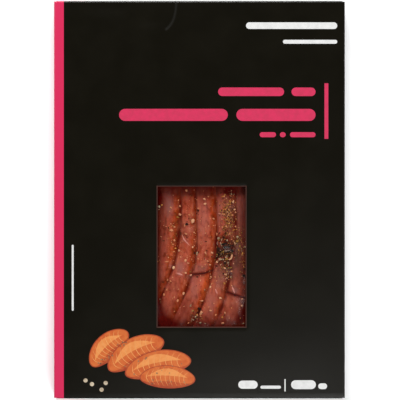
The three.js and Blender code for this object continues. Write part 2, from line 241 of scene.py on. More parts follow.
def skin_point(strip, across, up, y):
    """A point of a strip's skin: across and up run from -1 to 1 over its section, y along it."""
    near_low = smoothstep(-y, -strip["low"] - SLANT_REACH, -strip["low"])
    near_high = smoothstep(y, strip["high"] - SLANT_REACH, strip["high"])
    slant = strip.get("cut_low", 0) * near_low + strip.get("cut_high", 0) * near_high
    rise = strip.get("cut_rise", 0) * (near_low if "cut_low" in strip else near_high)
    taper = taper_at(strip, y)
    half = (seam_x(strip["right"], y) - seam_x(strip["left"], y)) / 2
    slanted = y + slant * across * half + rise * smoothstep(across, 0.0, 1.1)
    left = seam_x(strip["left"], slanted) + GAP / 2
    right = seam_x(strip["right"], slanted) - GAP / 2
    crest, left_drop, right_drop = drops(strip, across, slanted)
    height = (crest - left_drop - right_drop - FISH_BASE) * taper
    z = FISH_BASE + height * (up + 1) / 2
    lean = LEAN * (z - (FISH_BASE + FISH_TOP) / 2)
    return (left + right) / 2 + (right - left) / 2 * across * taper - lean, slanted, z


def noise_at(x, y, z):
    """Blender's own smooth noise at every one of the given places, each from -1 to 1."""
    flat = np.broadcast_arrays(x, y, z)
    values = [noise.noise(place) for place in zip(*(part.ravel().tolist() for part in flat))]
    return np.array(values).reshape(flat[0].shape)


def as_points(x, y, z):
    """Grids of coordinates as one row for each point."""
    return np.stack([x, y, z], axis=-1).reshape(-1, 3)


def make_piece(name, points, faces):
    """A mesh piece from places in millimetres, riding on the pack."""
    mesh = bpy.data.meshes.new(name)
    mesh.from_pydata((np.asarray(points) * MM).tolist(), [], faces)
    mesh.polygons.foreach_set("use_smooth", [True] * len(mesh.polygons))
    piece = bpy.data.objects.new(name, mesh)
    bpy.context.scene.collection.objects.link(piece)
    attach(piece, "root")
    return piece


def add_values(piece, name, values):
    """Gives every vertex of a piece a number that its material reads by name."""
    attribute = piece.data.attributes.new(name, "FLOAT", "POINT")
    attribute.data.foreach_set("value", np.asarray(values, dtype=np.float32).ravel())


def tube_faces(rings, around, first_tip, last_tip):
    """Quads round a tube of rings, and a fan on either end."""
    faces = []
    for ring in range(rings - 1):
        for k in range(around):
            a = ring * around + k
            b = ring * around + (k + 1) % around
            faces.append((a, b, b + around, a + around))
    last = (rings - 1) * around
    for k in range(around):
        following = (k + 1) % around
        faces.append((first_tip, following, k))
        faces.append((last_tip, last + k, last + following))
    return faces


def patches(places, x, y):
    """How strongly a point lies in any of the given soft-edged places."""
    shares = [
        strength * np.exp(-(((x - at) / wide) ** 2) - ((y - along) / long) ** 2)
        for at, along, wide, long, strength in places
    ]
    return np.minimum(1, sum(shares))


def flesh_relief(strip, number, across, up, y, px, py, pz):
    """How far fibres, lumps, pits and flakes raise the flesh. It stays calm along seams and cuts."""
    fibres = FIBRE_HEIGHT * noise_at(px * 0.9, py * 0.12, pz * 0.9 + 7 * number)
    lumps = LUMP_HEIGHT * noise_at(px * 0.22, py * 0.14, pz * 0.2 + 3 * number)
    pits = PIT_HEIGHT * noise_at(px * 0.75, py * 0.6, 5.0 * number)
    flake = py / FLAKE_LENGTH + 0.9 * across**2 + 0.8 * noise_at(px * 0.1, py * 0.08, 11.0 * number)
    step = FLAKE_HEIGHT * (flake - np.floor(flake)) ** 3
    calm = smoothstep(1 - np.abs(across), 0.0, 0.2) * smoothstep(from_cut(strip, y), 0.0, 2.0)
    return (fibres + lumps + pits - step) * smoothstep(up, -0.6, 0.4) * calm


def flesh_values(strip, number, across, y, px, py):
    """What the flesh's material reads at each point: how strong each tint, painted shade and painted sheen
    is there.
    """
    left_drop, right_drop = drops(strip, across, y)[1:]
    half_width = (seam_x(strip["right"], y) - seam_x(strip["left"], y)) / 2
    # Painted shade along the seams, where a strip's side falls away, and at a cut.
    by_right_seam = smoothstep((1 - across) * half_width, 2.4, 0.4)
    by_left_seam = 0.9 * smoothstep((1 + across) * half_width, 1.4, 0.3)
    on_drop = smoothstep(left_drop, 0.9, 1.6) + smoothstep(right_drop, 0.9, 1.4)
    by_cut = np.exp(-((from_cut(strip, y) / 1.2) ** 2))
    edges = [strength * smoothstep((px, py)[axis], start, end) for axis, start, end, strength in WINDOW_EDGE_SHADOWS]
    return {
        "flank": smoothstep(across, 0.05, 0.7) * strip.get("orange", 1.0),
        "seam_shade": np.maximum(by_right_seam, by_left_seam),
        "drop_and_cut_shade": np.maximum(on_drop, by_cut),
        # Painted sheen of the film, on the left of each strip's face.
        "painted_sheen": patches(PAINTED_SHEENS, px, py) * (1 - smoothstep(across, 0.2, 0.8)),
        "blush": patches(BLUSHES, px, py),
        # Stains, and brown painted shade.
        "stain_and_shade": patches(STAINS_AND_SHADE, px, py),
        # Painted shade under the window's edges and in shaded places.
        "edge": np.maximum(np.max(edges, axis=0), patches(PAINTED_SHADOWS, px, py)),
        "fibre": noise_at(across * half_width * 0.8, py * 0.16, 13.0 * number + 0.4 * px),
    }


def strip_piece(strip, number):
    """One strip: a closed tube of rings along its length, which stands for its solid."""
    rings = int((strip["high"] - strip["low"]) / RING_STEP)
    middle = (strip["high"] + strip["low"]) / 2
    half = (strip["high"] - strip["low"]) / 2
    along = middle + half * np.sin(np.linspace(-1, 1, rings) * math.pi / 2)
    across, up = section()
    around = len(across)
    y, across, up = (grid.copy() for grid in np.broadcast_arrays(along[:, None], across, up))
    px, py, pz = skin_point(strip, across, up, y)
    raised = pz + flesh_relief(strip, number, across, up, y, px, py, pz)
    points = as_points(px, py, raised)
    tips = [points[:around].mean(axis=0), points[-around:].mean(axis=0)]
    faces = tube_faces(rings, around, len(points), len(points) + 1)
    piece = make_piece(strip["name"] + "_flesh", np.vstack([points, tips]), faces)
    for name, values in flesh_values(strip, number, across, y, px, py).items():
        values = values.ravel()
        add_values(piece, name, np.append(values, [values[0], values[-1]]))
    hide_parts(strip["name"])
    return piece


def new_material(name):
    """A material with no nodes in it yet."""
    material = bpy.data.materials.new(name)
    material.use_nodes = True
    material.node_tree.nodes.clear()
    return material


def node(material, kind, sockets, **settings):
    """Adds a shader node. Each of its sockets takes a value, or another node's output."""
    made = material.node_tree.nodes.new(kind)
    for key, value in settings.items():
        setattr(made, key, value)
    for key, value in sockets.items():
        if isinstance(value, bpy.types.NodeSocket):
            material.node_tree.links.new(value, made.inputs[key])
        else:
            made.inputs[key].default_value = value
    return made


def place_of(material, scale=(1, 1, 1)):
    """Where a point lies on the pack, in metres, stretched by a scale."""
    coordinates = node(material, "ShaderNodeTexCoord", {})
    mapping = node(material, "ShaderNodeMapping", {"Vector": coordinates.outputs["Object"], "Scale": scale})
    return mapping.outputs["Vector"]


def speckle(material, scale, detail=3.0, stretch=(1, 1, 1), roughness=0.55):
    """A noise from about 0.3 to 0.7 over the pack's own space."""
    where = place_of(material, stretch)
    sockets = {"Vector": where, "Scale": scale, "Detail": detail, "Roughness": roughness}
    return node(material, "ShaderNodeTexNoise", sockets).outputs["Fac"]


def remap(material, value, low, high, to_low=0.0, to_high=1.0):
    """Takes a value from one range to another, held inside it."""
    sockets = {"Value": value, "From Min": low, "From Max": high, "To Min": to_low, "To Max": to_high}
    return node(material, "ShaderNodeMapRange", sockets).outputs["Result"]


def blend_colours(material, share, first, second):
    """Mixes two colours, each an RGB triple or another node's output."""
    mixer = node(material, "ShaderNodeMix", {"Factor": share}, data_type="RGBA")
    for index, colour in ((6, first), (7, second)):
        if isinstance(colour, bpy.types.NodeSocket):
            material.node_tree.links.new(colour, mixer.inputs[index])
        else:
            mixer.inputs[index].default_value = (*colour, 1.0)
    return mixer.outputs[2]


def read_value(material, name):
    """Reads what add_values gave to the points."""
    return node(material, "ShaderNodeAttribute", {}, attribute_name=name).outputs["Fac"]


def combine(material, operation, first, second):
    """Works out one value from two."""
    return node(material, "ShaderNodeMath", {0: first, 1: second}, operation=operation).outputs[0]


def finish_surface(material, colour, roughness, height=None, relief=0.0, **whole):
    """Ends a material in one shader. Each of whole is a number or colour the same all over."""
    sockets = {"Base Color": colour, "Roughness": roughness}
    sockets.update({key.replace("_", " "): value for key, value in whole.items()})
    if height is not None:
        bump = {"Height": height, "Strength": 1.0, "Distance": relief * MM}
        sockets["Normal"] = node(material, "ShaderNodeBump", bump).outputs["Normal"]
    shader = node(material, "ShaderNodeBsdfPrincipled", sockets)
    node(material, "ShaderNodeOutputMaterial", {"Surface": shader.outputs["BSDF"]})
    return material


FLESH_PINK = (0.410, 0.086, 0.050)
FLESH_ORANGE = (0.340, 0.038, 0.004)
FLESH_BROWN = (0.160, 0.018, 0.002)
FLESH_PEACH = (0.50, 0.145, 0.075)
# The mauve of the film's painted sheen.
FLESH_SHEEN = (0.28, 0.108, 0.092)
FLESH_CLEAR = (0.580, 0.140, 0.090)
FLESH_BRIGHT = (0.520, 0.080, 0.015)
# Stained flesh, also used as brown painted shade.
FLESH_STAINED_AND_SHADED = (0.080, 0.032, 0.019)
# The deep red of painted shade.
FLESH_SHADED = (0.080, 0.0016, 0.0003)


def flesh_material():
    """Pink flesh with orange flanks, mottled and fibrous, browned by smoke, with painted shade where it
    falls away, along seams and at cuts, and a painted mauve sheen of the film.
    """
    material = new_material("smoked_flesh")
    fine = speckle(material, 900, 4, (1, 0.16, 1))
    blotch = speckle(material, 420, 3, (1, 0.7, 1))
    broad = speckle(material, 130, 3, (1, 0.5, 1))
    uneven = remap(material, broad, 0.35, 0.65, -0.15, 0.42)
    flank = combine(material, "ADD", read_value(material, "flank"), uneven)
    patchy = remap(material, broad, 0.3, 0.6, 0.5, 1.0)
    blush = combine(material, "MULTIPLY", read_value(material, "blush"), patchy)
    pink = blend_colours(material, blush, FLESH_PINK, FLESH_CLEAR)
    orange = blend_colours(material, blush, FLESH_ORANGE, FLESH_BRIGHT)
    colour = blend_colours(material, remap(material, flank, 0.0, 1.0), pink, orange)
    speckled = remap(material, flank, 0.0, 0.8, 0.75, 1.0)
    pale = combine(material, "MULTIPLY", remap(material, blotch, 0.50, 0.70, 0.0, 0.65), speckled)
    colour = blend_colours(material, pale, colour, FLESH_PEACH)
    fine_spots = remap(material, fine, 0.50, 0.75, 0.0, 0.6)
    dark = combine(material, "MAXIMUM", remap(material, blotch, 0.50, 0.30), fine_spots)
    colour = blend_colours(material, combine(material, "MULTIPLY", dark, speckled), colour, FLESH_BROWN)
    fibre = read_value(material, "fibre")
    colour = blend_colours(material, remap(material, fibre, 0.0, 0.6, 0.0, 0.22), colour, FLESH_PEACH)
    colour = blend_colours(material, remap(material, fibre, 0.0, -0.6, 0.0, 0.24), colour, FLESH_BROWN)
    # Painted sheen of the film.
    painted_sheen = combine(material, "MULTIPLY", read_value(material, "painted_sheen"), patchy)
    colour = blend_colours(material, painted_sheen, colour, FLESH_SHEEN)
    # Stains, and brown painted shade.
    spotty = remap(material, blotch, 0.32, 0.58, 1.0, 0.6)
    stain_and_shade = combine(material, "MULTIPLY", read_value(material, "stain_and_shade"), spotty)
    colour = blend_colours(material, stain_and_shade, colour, FLESH_STAINED_AND_SHADED)
    # Painted shade: along seams, where the flesh falls away, at cuts, under the window's edges and in
    # shaded places.
    broken = remap(material, broad, 0.40, 0.58, 0.5, 1.0)
    seam_shade = combine(material, "MULTIPLY", read_value(material, "seam_shade"), broken)
    seam_shade = combine(material, "MULTIPLY", seam_shade, remap(material, blush, 0.0, 1.0, 1.0, 0.4))
    drop_and_cut_shade = combine(material, "MULTIPLY", read_value(material, "drop_and_cut_shade"), 0.94)
    painted_shade = combine(material, "MAXIMUM", drop_and_cut_shade, read_value(material, "edge"))
    painted_shade = combine(material, "MAXIMUM", seam_shade, painted_shade)
    colour = blend_colours(material, painted_shade, colour, FLESH_SHADED)
    return finish_surface(
        material,
        colour,
        remap(material, fine, 0.3, 0.7, 0.32, 0.55),
        fine,
        0.10,
        Subsurface_Weight=0.65,
        Subsurface_Radius=(1.0, 0.22, 0.10),
        Subsurface_Scale=1.6 * MM,
        Specular_IOR_Level=0.02,
    )


flesh = flesh_material()
flesh_pieces = []
for number, strip in enumerate(STRIPS):
    piece = strip_piece(strip, number)
    piece.data.materials.append(flesh)
    flesh_pieces.append(piece)


# ==== Threads of fat ====
# Pale threads of fat and sinew, a millimetre or less thick. Slicing left them on the cut faces of the
# fish, and the film holds them down.

THREADS = [  # places along each thread, and its width
    ([(-9.0, -18.1), (-8.0, -20.5), (-6.8, -21.8), (-5.1, -23.6)], 0.75),
    ([(8.2, -46.0), (8.7, -47.3), (9.2, -48.6)], 0.80),
    ([(16.8, -44.7), (17.5, -46.4), (18.2, -48.3)], 0.80),
    ([(-12.0, -37.8), (-10.3, -38.3), (-8.6, -38.9)], 0.95),
    ([(9.6, -7.0), (11.2, -7.2), (12.8, -7.5)], 0.60),
]
THREAD_AROUND = 10  # points in a ring
THREAD_RINGS = 22
THREAD_WANDER = 0.12  # how far a thread strays to either side
THREAD_FLATNESS = 0.45  # its height as a share of its width
FAT_TONES = (0.62, 0.25, 0.20), (0.48, 0.15, 0.11)

fish_points, fish_faces = [], []  # all strips as one surface, to lay things on
for piece in flesh_pieces:
    first = len(fish_points)
    fish_points.extend(v.co / MM for v in piece.data.vertices)
    fish_faces.extend([first + k for k in face.vertices] for face in piece.data.polygons)
fish_tree = BVHTree.FromPolygons(fish_points, fish_faces)
ABOVE = 30.0  # a height above everything in the pack


def drop_to(x, y, floor):
    """The height at which something dropped on the fish at x, y comes to lie."""
    hit = fish_tree.ray_cast(Vector((x, y, ABOVE)), Vector((0, 0, -1)))[0]
    return max(hit.z, floor) if hit is not None else floor


def thread_points(places, width, floor):
    """A thread that lies on the fish, or on a floor above it, thickest in its middle."""
    places = np.array(places)
    share = np.linspace(0, 1, THREAD_RINGS)
    knots = np.linspace(0, 1, len(places))
    x = np.interp(share, knots, places[:, 0]) + THREAD_WANDER * noise_at(share * 6, 0, places[0, 0])
    y = np.interp(share, knots, places[:, 1])
    size = width / 2 * np.sin(math.pi * np.clip(share, 0.04, 0.96)) ** 0.7
    angle = np.linspace(0, 2 * math.pi, THREAD_AROUND, endpoint=False)
    z = np.array([drop_to(a, b, floor) for a, b in zip(x, y)])
    dx, dy = np.gradient(x), np.gradient(y)
    length = np.hypot(dx, dy)
    ox = x[:, None] - (dy / length * size)[:, None] * np.cos(angle)
    oy = y[:, None] + (dx / length * size)[:, None] * np.cos(angle)
    oz = z[:, None] + THREAD_FLATNESS * size[:, None] * np.sin(angle)
    return as_points(ox, oy, oz)


def thread_piece(name, rows, floor):
    """Any number of threads in one piece."""
    points, faces = [], []
    for places, width in rows:
        tube = thread_points(places, width, floor)
        tips = [tube[:THREAD_AROUND].mean(axis=0), tube[-THREAD_AROUND:].mean(axis=0)]
        its_faces = tube_faces(THREAD_RINGS, THREAD_AROUND, len(tube), len(tube) + 1)
        faces.extend([len(points) + k for k in face] for face in its_faces)
        points.extend([*tube, *tips])
    return make_piece(name, points, faces)


def two_toned(name, tones, scale, detail, low, high, roughness, relief, **whole):
    """A material of two colours, mixed and raised by one noise."""
    material = new_material(name)
    mottle = speckle(material, scale, detail)
    colour = blend_colours(material, remap(material, mottle, low, high), *tones)
    return finish_surface(material, colour, roughness, mottle, relief, **whole)


threads = thread_piece("threads_of_fat", THREADS, FISH_BASE)
threads.data.materials.append(two_toned("fish_fat", FAT_TONES, 900, 3, 0.35, 0.65, 0.45, 0.05))


# ==== Crushed pepper ====
# Dried berries, crushed and pressed into the fish before it was sealed: cream and golden cores, brown and
# black husks, and some that the oil has stained. A heap of it fills the hollow between two ends of fish:
# ground pepper below, with crumbs and curled husks lying on it.

CRUMBS = {  # middle across and along, width, length, and the way the length points in degrees
    "cream": [
        (-9.9, -7.5, 1.7, 1.7, 0), (-3.4, -11, 1.7, 2.6, 80), (2.6, 0.4, 1.3, 1.4, 0),
        (2.9, -2, 1.6, 1.6, 0), (17.4, -1.2, 1.0, 2.1, 65), (18.2, -5, 1.2, 1.2, 0),
        (18.4, -6.5, 0.9, 1.1, 90), (-10.6, -26.3, 1.3, 1.7, 0), (-3.5, -24.5, 0.8, 1.0, 90),
        (-7.2, -31.4, 1.3, 1.6, 90), (-13.3, -35.1, 1.3, 1.8, 80), (-7.1, -37.8, 1.0, 1.1, 0),
        (-4.5, -38.9, 1.2, 1.4, 10), (2.9, -27.3, 0.9, 2.1, 110), (6.6, -27.3, 1.3, 1.4, 0),
        (16.7, -29.4, 1.1, 2.4, 75), (9, -32.3, 1.1, 2.0, -35), (13.2, -35.2, 1.3, 1.9, 0),
        (13.4, -38.5, 1.0, 1.4, 0), (17.5, -25.2, 0.9, 1.9, 85), (6.1, -39.8, 1.1, 1.3, 0),
        (5.5, -33.5, 0.9, 1.1, 0), (-8.2, -48.4, 1.1, 1.7, 90), (0.9, -58.5, 2.0, 2.4, 60),
        (0.4, -41.7, 1.0, 1.4, 80), (5.7, -45, 0.9, 1.4, 70), (16.6, -44.3, 0.7, 0.8, 0),
        (11, -50.7, 1.3, 1.9, 20), (1.1, -52.1, 0.9, 2.2, 0), (5.9, -57.1, 1.1, 1.6, 0),
        (13.2, -58.4, 1.0, 1.1, 90),
    ],
    "peach": [
        (-14.5, -4.2, 1.1, 1.8, -20), (-10.9, -0.4, 0.8, 1.1, 90), (-9.9, -3.3, 1.3, 1.3, 0),
        (-7.6, -13.4, 0.8, 1.3, 90), (-14.6, -15.7, 1.2, 2.1, 0), (-12.9, -13.9, 1.1, 1.3, 0),
        (-6.7, 4.7, 1.3, 1.3, 0), (-0.5, -4.4, 0.8, 1.4, -10), (-5.4, -7.8, 1.0, 1.2, 0),
        (4.5, 1.6, 0.8, 1.0, 0), (7.2, -9.8, 1.2, 1.3, 0), (12.7, -7.5, 1.1, 1.3, 90),
        (10.9, -7.1, 0.6, 2.3, 0), (12.6, 1.6, 1.0, 1.1, 0), (17.1, -7.8, 0.9, 1.1, 60),
        (11.7, -14.1, 1.1, 1.6, 90), (13.9, -13.9, 1.2, 1.6, 90), (18.7, -13.8, 1.0, 1.2, 0),
        (-6.7, -17.5, 1.3, 1.4, 0), (-2.9, -16.9, 1.1, 1.4, 0), (-13.1, -20.9, 1.2, 1.3, 0),
        (-13.5, -23.1, 1.1, 1.4, 0), (-13.2, -26.7, 1.0, 1.3, 0), (-16.8, -31.9, 1.0, 2.1, 0),
        (-5.8, -32.7, 1.0, 1.3, 0), (-16.6, -41.3, 1.0, 1.3, 90), (-14.9, -41.9, 1.0, 1.3, 0),
        (9, -17.7, 0.9, 1.6, 90), (15.5, -17.7, 1.1, 1.2, 0), (16.6, -20.5, 0.6, 0.8, 0),
        (22.8, -34.4, 0.8, 1.4, 80), (8.1, -39.9, 1.0, 1.1, 90), (3.1, -33.5, 0.8, 1.2, 0),
        (4.4, -31.7, 1.0, 1.2, 0), (16.6, -36.9, 1.0, 1.2, 0), (14.2, -40.3, 0.9, 1.0, 0),
        (-18.3, -49, 1.0, 1.4, 90), (-17, -46.6, 0.8, 1.1, 0), (-13.1, -50.2, 0.9, 1.3, 90),
        (-11.2, -52.1, 1.0, 1.6, 90), (-4.1, -62.6, 0.7, 0.9, 0), (-5.7, -63.6, 0.9, 1.6, 20),
        (6.3, -43.2, 0.9, 1.4, 70), (7.4, -53.6, 0.7, 1.1, 0), (4.8, -55.4, 0.6, 1.3, 80),
        (16.6, -55.8, 0.6, 1.2, 90), (21.9, -51.3, 0.9, 1.2, 90), (21.9, -54.8, 1.0, 1.2, 0),
        (8.3, -59.5, 0.9, 1.3, 60), (12.1, -63.9, 1.2, 1.7, 10), (8.8, -41.8, 0.7, 0.9, 45),
    ],
    "gold": [
        (-19.3, -2.6, 1.0, 1.2, 0), (16, -0.6, 1.3, 1.6, 0), (15.1, -5.5, 1.0, 1.7, 80),
        (14.8, -12.3, 1.0, 1.2, 0), (17.5, -15.6, 0.7, 1.8, 30), (19.2, -15.3, 0.8, 1.2, 0),
        (-12.4, -25, 0.9, 1.2, 0), (14.2, -37.1, 0.8, 1.1, 0), (18.1, -23.3, 0.7, 1.3, 30),
        (20.3, -26.1, 0.6, 1.2, 110), (22.3, -27.8, 0.7, 1.4, 90), (-1.2, -59.3, 0.8, 1.2, 0),
        (12.9, -43.1, 0.9, 1.6, -50), (11.8, -60.8, 1.0, 1.6, 90), (21.1, -61.3, 0.7, 0.9, 0),
    ],
    "olive": [
        (-11.1, -9, 1.0, 1.6, 0), (-4.7, -37.1, 0.8, 1.0, 0), (9.2, -28.3, 0.8, 1.1, 0),
        (14.8, -35.2, 1.1, 1.4, 0), (11.5, -34.6, 0.7, 1.2, 90), (17.1, -27.4, 0.8, 1.0, 90),
        (19.3, -21.5, 1.3, 1.9, 0), (20.9, -24, 0.8, 1.3, 90), (21.3, -37.1, 0.6, 0.8, 0),
        (-3.5, -57.3, 1.1, 1.3, 0),
    ],
    "grey": [
        (-21, -3.5, 1.6, 1.6, 0), (16.5, 2.9, 0.9, 1.1, 90), (-1.3, -27.9, 1.0, 2.2, 90),
        (10, -19.8, 1.6, 1.8, 0), (11.1, -23, 0.7, 2.6, 110), (13.1, -24.8, 1.0, 1.2, 60),
        (14.9, -26.2, 0.7, 1.9, 0), (13.9, -29.4, 0.7, 2.3, -20), (11.2, -30.9, 1.0, 1.3, 0),
        (13.2, -32.1, 0.8, 1.1, 0), (14.8, -32.4, 1.0, 1.2, 90), (19.7, -19.2, 1.0, 1.3, 20),
        (23.9, -21.6, 0.8, 1.1, 90), (23.6, -24.4, 0.7, 1.2, 90), (16.2, -39.9, 0.9, 1.0, 0),
        (-4.6, -54.8, 0.9, 2.5, 65), (-2.1, -60.6, 0.9, 1.2, 90), (-3.3, -62.1, 0.6, 1.1, 10),
        (0.4, -63.8, 1.4, 1.9, 40), (22.7, -63.9, 0.7, 1.0, 60), (2.9, -64, 0.9, 1.2, 0),
    ],
    "brown": [
        (-16, -14.3, 0.8, 1.2, 90), (-0.7, -5.6, 1.0, 1.4, -20), (-1.4, -7.1, 0.8, 1.0, 90),
        (13.1, -3.9, 0.7, 0.9, 0), (18.3, -3.9, 0.7, 1.2, 0), (14.9, -8.5, 0.7, 1.2, 0),
        (18.4, -7.6, 0.8, 1.1, 0), (16.3, 1.3, 1.3, 1.8, -45), (-9.7, -17.2, 1.0, 1.4, 80),
        (-0.4, -26.8, 0.7, 1.6, 90), (-18.5, -21.1, 0.6, 1.4, 0), (-1.1, -39.7, 0.9, 1.4, 0),
        (10.5, -17.4, 0.8, 1.6, 90), (3.7, -26.2, 0.7, 0.9, 0), (3.5, -21.5, 0.6, 1.7, 0),
        (6.3, -29.5, 0.7, 1.2, 90), (9.9, -29.8, 0.9, 1.3, 0), (10.4, -31.8, 0.7, 1.0, -35),
        (12.9, -33.6, 0.7, 1.0, 0), (16.3, -34.9, 1.0, 1.6, 60), (16.4, -38.4, 0.7, 1.3, 0),
        (18.5, -24.2, 0.9, 1.3, 30), (23.4, -26.8, 0.7, 1.6, 90), (8.9, -34.1, 1.1, 1.4, 0),
        (-18.7, -42.6, 0.7, 1.6, 0), (-18, -45.8, 0.7, 1.0, 45), (-20.2, -52.6, 1.2, 1.9, 90),
        (0, -60.5, 1.0, 1.3, 0), (11.3, -58.7, 0.7, 0.9, 0), (12.9, -59.6, 0.7, 1.1, 0),
        (11.2, -61.9, 0.6, 1.1, 0),
    ],
    "black": [
        (-6.3, -12.4, 1.7, 2.0, 0), (-2.7, -27.5, 1.0, 1.3, 90), (10.4, -21.4, 0.8, 1.2, 0),
        (12.5, -22.8, 1.6, 2.3, 0), (10, -25.1, 1.2, 1.4, 90), (11, -26.1, 0.9, 1.6, 0),
        (15, -24.3, 1.8, 2.3, 20), (16.4, -23.5, 0.9, 1.3, 0), (13.9, -27.3, 0.7, 2.1, 0),
        (12.6, -30.7, 1.3, 1.4, 70), (14.6, -31.2, 0.7, 1.6, 0), (13.5, -32.7, 0.6, 1.7, 0),
        (23.2, -35.5, 0.9, 1.4, 60), (23.1, -38.9, 1.6, 1.8, 45), (0, -56.2, 2.0, 2.6, -65),
        (-0.9, -58.1, 0.8, 0.9, 0), (18.3, -49.4, 0.8, 1.0, 0),
    ],
}

DUST = [  # middle, half width and length, number, least and greatest size, and how likely each kind is
    ((14.8, -7.0), (3.2, 10.5), 430, (0.40, 0.95), (1.2, 4, 5, 3, 0.3, 8, 0.6)),
    ((12.9, -26.8), (3.0, 6.4), 150, (0.70, 1.70), (0.2, 0.2, 0.6, 1.0, 0.8, 7, 6)),
    ((12.9, -27.2), (3.4, 7.4), 250, (0.25, 0.75), (0.8, 0.5, 2.0, 2.5, 0.5, 8, 4)),
    ((20.2, -22.0), (2.6, 6.5), 210, (0.30, 0.70), (0.7, 0.7, 3, 6, 1.5, 8, 2)),
    ((14.0, -38.5), (2.4, 4.5), 70, (0.30, 0.80), (2, 1, 5, 4, 0, 4, 1)),
    ((-14.2, -20.0), (2.2, 10.0), 100, (0.25, 0.70), (0.5, 4, 3, 2, 0, 5, 0)),
    ((-5.0, -9.0), (2.2, 9.0), 80, (0.25, 0.70), (0.5, 4, 2, 1, 0, 5, 0)),
    ((3.0, -31.0), (3.8, 4.0), 40, (0.25, 0.70), (1, 4, 2, 1, 0, 3, 0)),
    ((-1.5, -60.0), (3.0, 4.0), 90, (0.30, 0.90), (1, 1, 2, 3, 3, 6, 4)),
    ((22.6, -30.0), (1.6, 10.0), 60, (0.30, 0.80), (1, 2, 3, 3, 2, 6, 2)),
    ((1.2, -29.0), (18.0, 28.0), 420, (0.20, 0.60), (1, 5, 2, 1, 0.5, 5, 0.5)),
    ((-3.0, -28.0), (19.0, 30.0), 120, (0.45, 1.00), (3, 6, 2, 0.5, 0.3, 2, 0.2)),
]
CRUMB_CORNERS = 11
CRUMB_ROUGHNESS = 0.72  # the least distance of a corner from the middle, as a share of the greatest
GRAIN_FLATNESS = 0.72
GRAIN_SINK = 0.35  # share of its height that a grain is sunk into the fish
GRAIN_TILT = 0.3  # the most that a grain leans over, in radians
HOLLOW_FLOOR = 7.4  # how high the ground pepper fills the hollow
RAISES_FILM = 0.5  # the least height of a grain that lifts the film
PEPPER_COLOURS = {  # the darkest and the palest grains of each kind
    "cream": ((0.54, 0.22, 0.11), (0.68, 0.37, 0.20)),
    "peach": ((0.50, 0.17, 0.07), (0.58, 0.23, 0.11)),
    "gold": ((0.36, 0.13, 0.022), (0.54, 0.24, 0.05)),
    "olive": ((0.20, 0.09, 0.014), (0.34, 0.17, 0.035)),
    "grey": ((0.26, 0.17, 0.10), (0.42, 0.30, 0.18)),
    "brown": ((0.045, 0.008, 0.002), (0.13, 0.028, 0.008)),
    "black": ((0.006, 0.002, 0.001), (0.030, 0.008, 0.004)),
}


def crumb_shapes(kinds, seed, rounds):
    """Uneven crumbs to copy from: hulls of scattered corners, each round softening their edges."""
    chance = random.Random(seed)
    shapes = []
    for _ in range(kinds):
        builder = bmesh.new()
        for _ in range(CRUMB_CORNERS):
            corner = Vector((chance.gauss(0, 1), chance.gauss(0, 1), chance.gauss(0, 1))).normalized()
            builder.verts.new(corner * chance.uniform(CRUMB_ROUGHNESS, 1.0))
        bmesh.ops.convex_hull(builder, input=builder.verts[:])
        for _ in range(rounds):
            bmesh.ops.subdivide_edges(builder, edges=builder.edges[:], cuts=1, use_grid_fill=True)
            axes = dict(use_axis_x=True, use_axis_y=True, use_axis_z=True)
            bmesh.ops.smooth_vert(builder, verts=builder.verts[:], factor=0.25, **axes)
        bmesh.ops.triangulate(builder, faces=builder.faces[:])
        builder.verts.ensure_lookup_table()
        points = np.array([v.co[:] for v in builder.verts])
        faces = np.array([[v.index for v in f.verts] for f in builder.faces])
        builder.free()
        shapes.append((points / np.abs(points).max(axis=0), faces))
    return shapes


coarse_crumbs = crumb_shapes(kinds=10, seed=3, rounds=1)
fine_crumbs = crumb_shapes(kinds=8, seed=5, rounds=0)
chance = random.Random(23)
grains = {kind: [] for kind in PEPPER_COLOURS}
grain_tops = []  # place, height and reach of every grain that lifts the film


def drop_grain(kind, x, y, width, length, way, shapes):
    """Lays one crumb on the fish, its length pointing the given way."""
    points, faces = chance.choice(shapes)
    flat = GRAIN_FLATNESS * min(width, length)
    points = points * np.array([length, width, flat]) / 2
    angle = math.radians(way)
    tilt = chance.uniform(-GRAIN_TILT, GRAIN_TILT)
    cos, sin = math.cos(tilt), math.sin(tilt)
    about_x = np.array([[1, 0, 0], [0, cos, -sin], [0, sin, cos]])
    cos, sin = math.cos(angle), math.sin(angle)
    about_z = np.array([[cos, -sin, 0], [sin, cos, 0], [0, 0, 1]])
    z = drop_to(x, y, HOLLOW_FLOOR) + (0.5 - GRAIN_SINK) * flat
    if flat > RAISES_FILM:
        grain_tops.append((x, y, z + flat / 2, min(width, length) / 2))
    grains[kind].append((points @ about_x.T @ about_z.T + np.array([x, y, z]), faces, chance.random()))


for kind, rows in CRUMBS.items():
    for x, y, width, length, way in rows:
        drop_grain(kind, x, y, width, length, way, coarse_crumbs)
for (x, y), (wide, long), count, (least, greatest), weights in DUST:
    for _ in range(count):
        kind = chance.choices(list(grains), weights=weights)[0]
        size = least + (greatest - least) * chance.random() ** 2
        at_x = x + wide * chance.gauss(0, 0.6)
        at_y = y + long * chance.gauss(0, 0.6)
        narrow = size * chance.uniform(0.6, 1.0)
        drop_grain(kind, at_x, at_y, narrow, size, chance.uniform(0, 180), fine_crumbs)


def pepper_material(kind, dark, light):
    """Rough, dull grains. How pale each of them is comes from its own tone."""
    material = new_material(kind + "_pepper")
    colour = blend_colours(material, read_value(material, "tone"), dark, light)
    rough = speckle(material, 1900, 3)
    colour = blend_colours(material, remap(material, rough, 0.45, 0.65, 0.0, 0.4), colour, dark)
    gloss = remap(material, rough, 0.3, 0.7, 0.5, 0.8)
    return finish_surface(material, colour, gloss, rough, 0.12, Specular_IOR_Level=0.1)


CORE_X = 6.0, 21.0
CORE_Y = -33.0, -23.0
CORE_STEP = 0.25
CORE_ROUGHNESS = 0.25
CORE_GAP = 0.02
CORE_TONES = (0.010, 0.0025, 0.0008), (0.075, 0.018, 0.005)


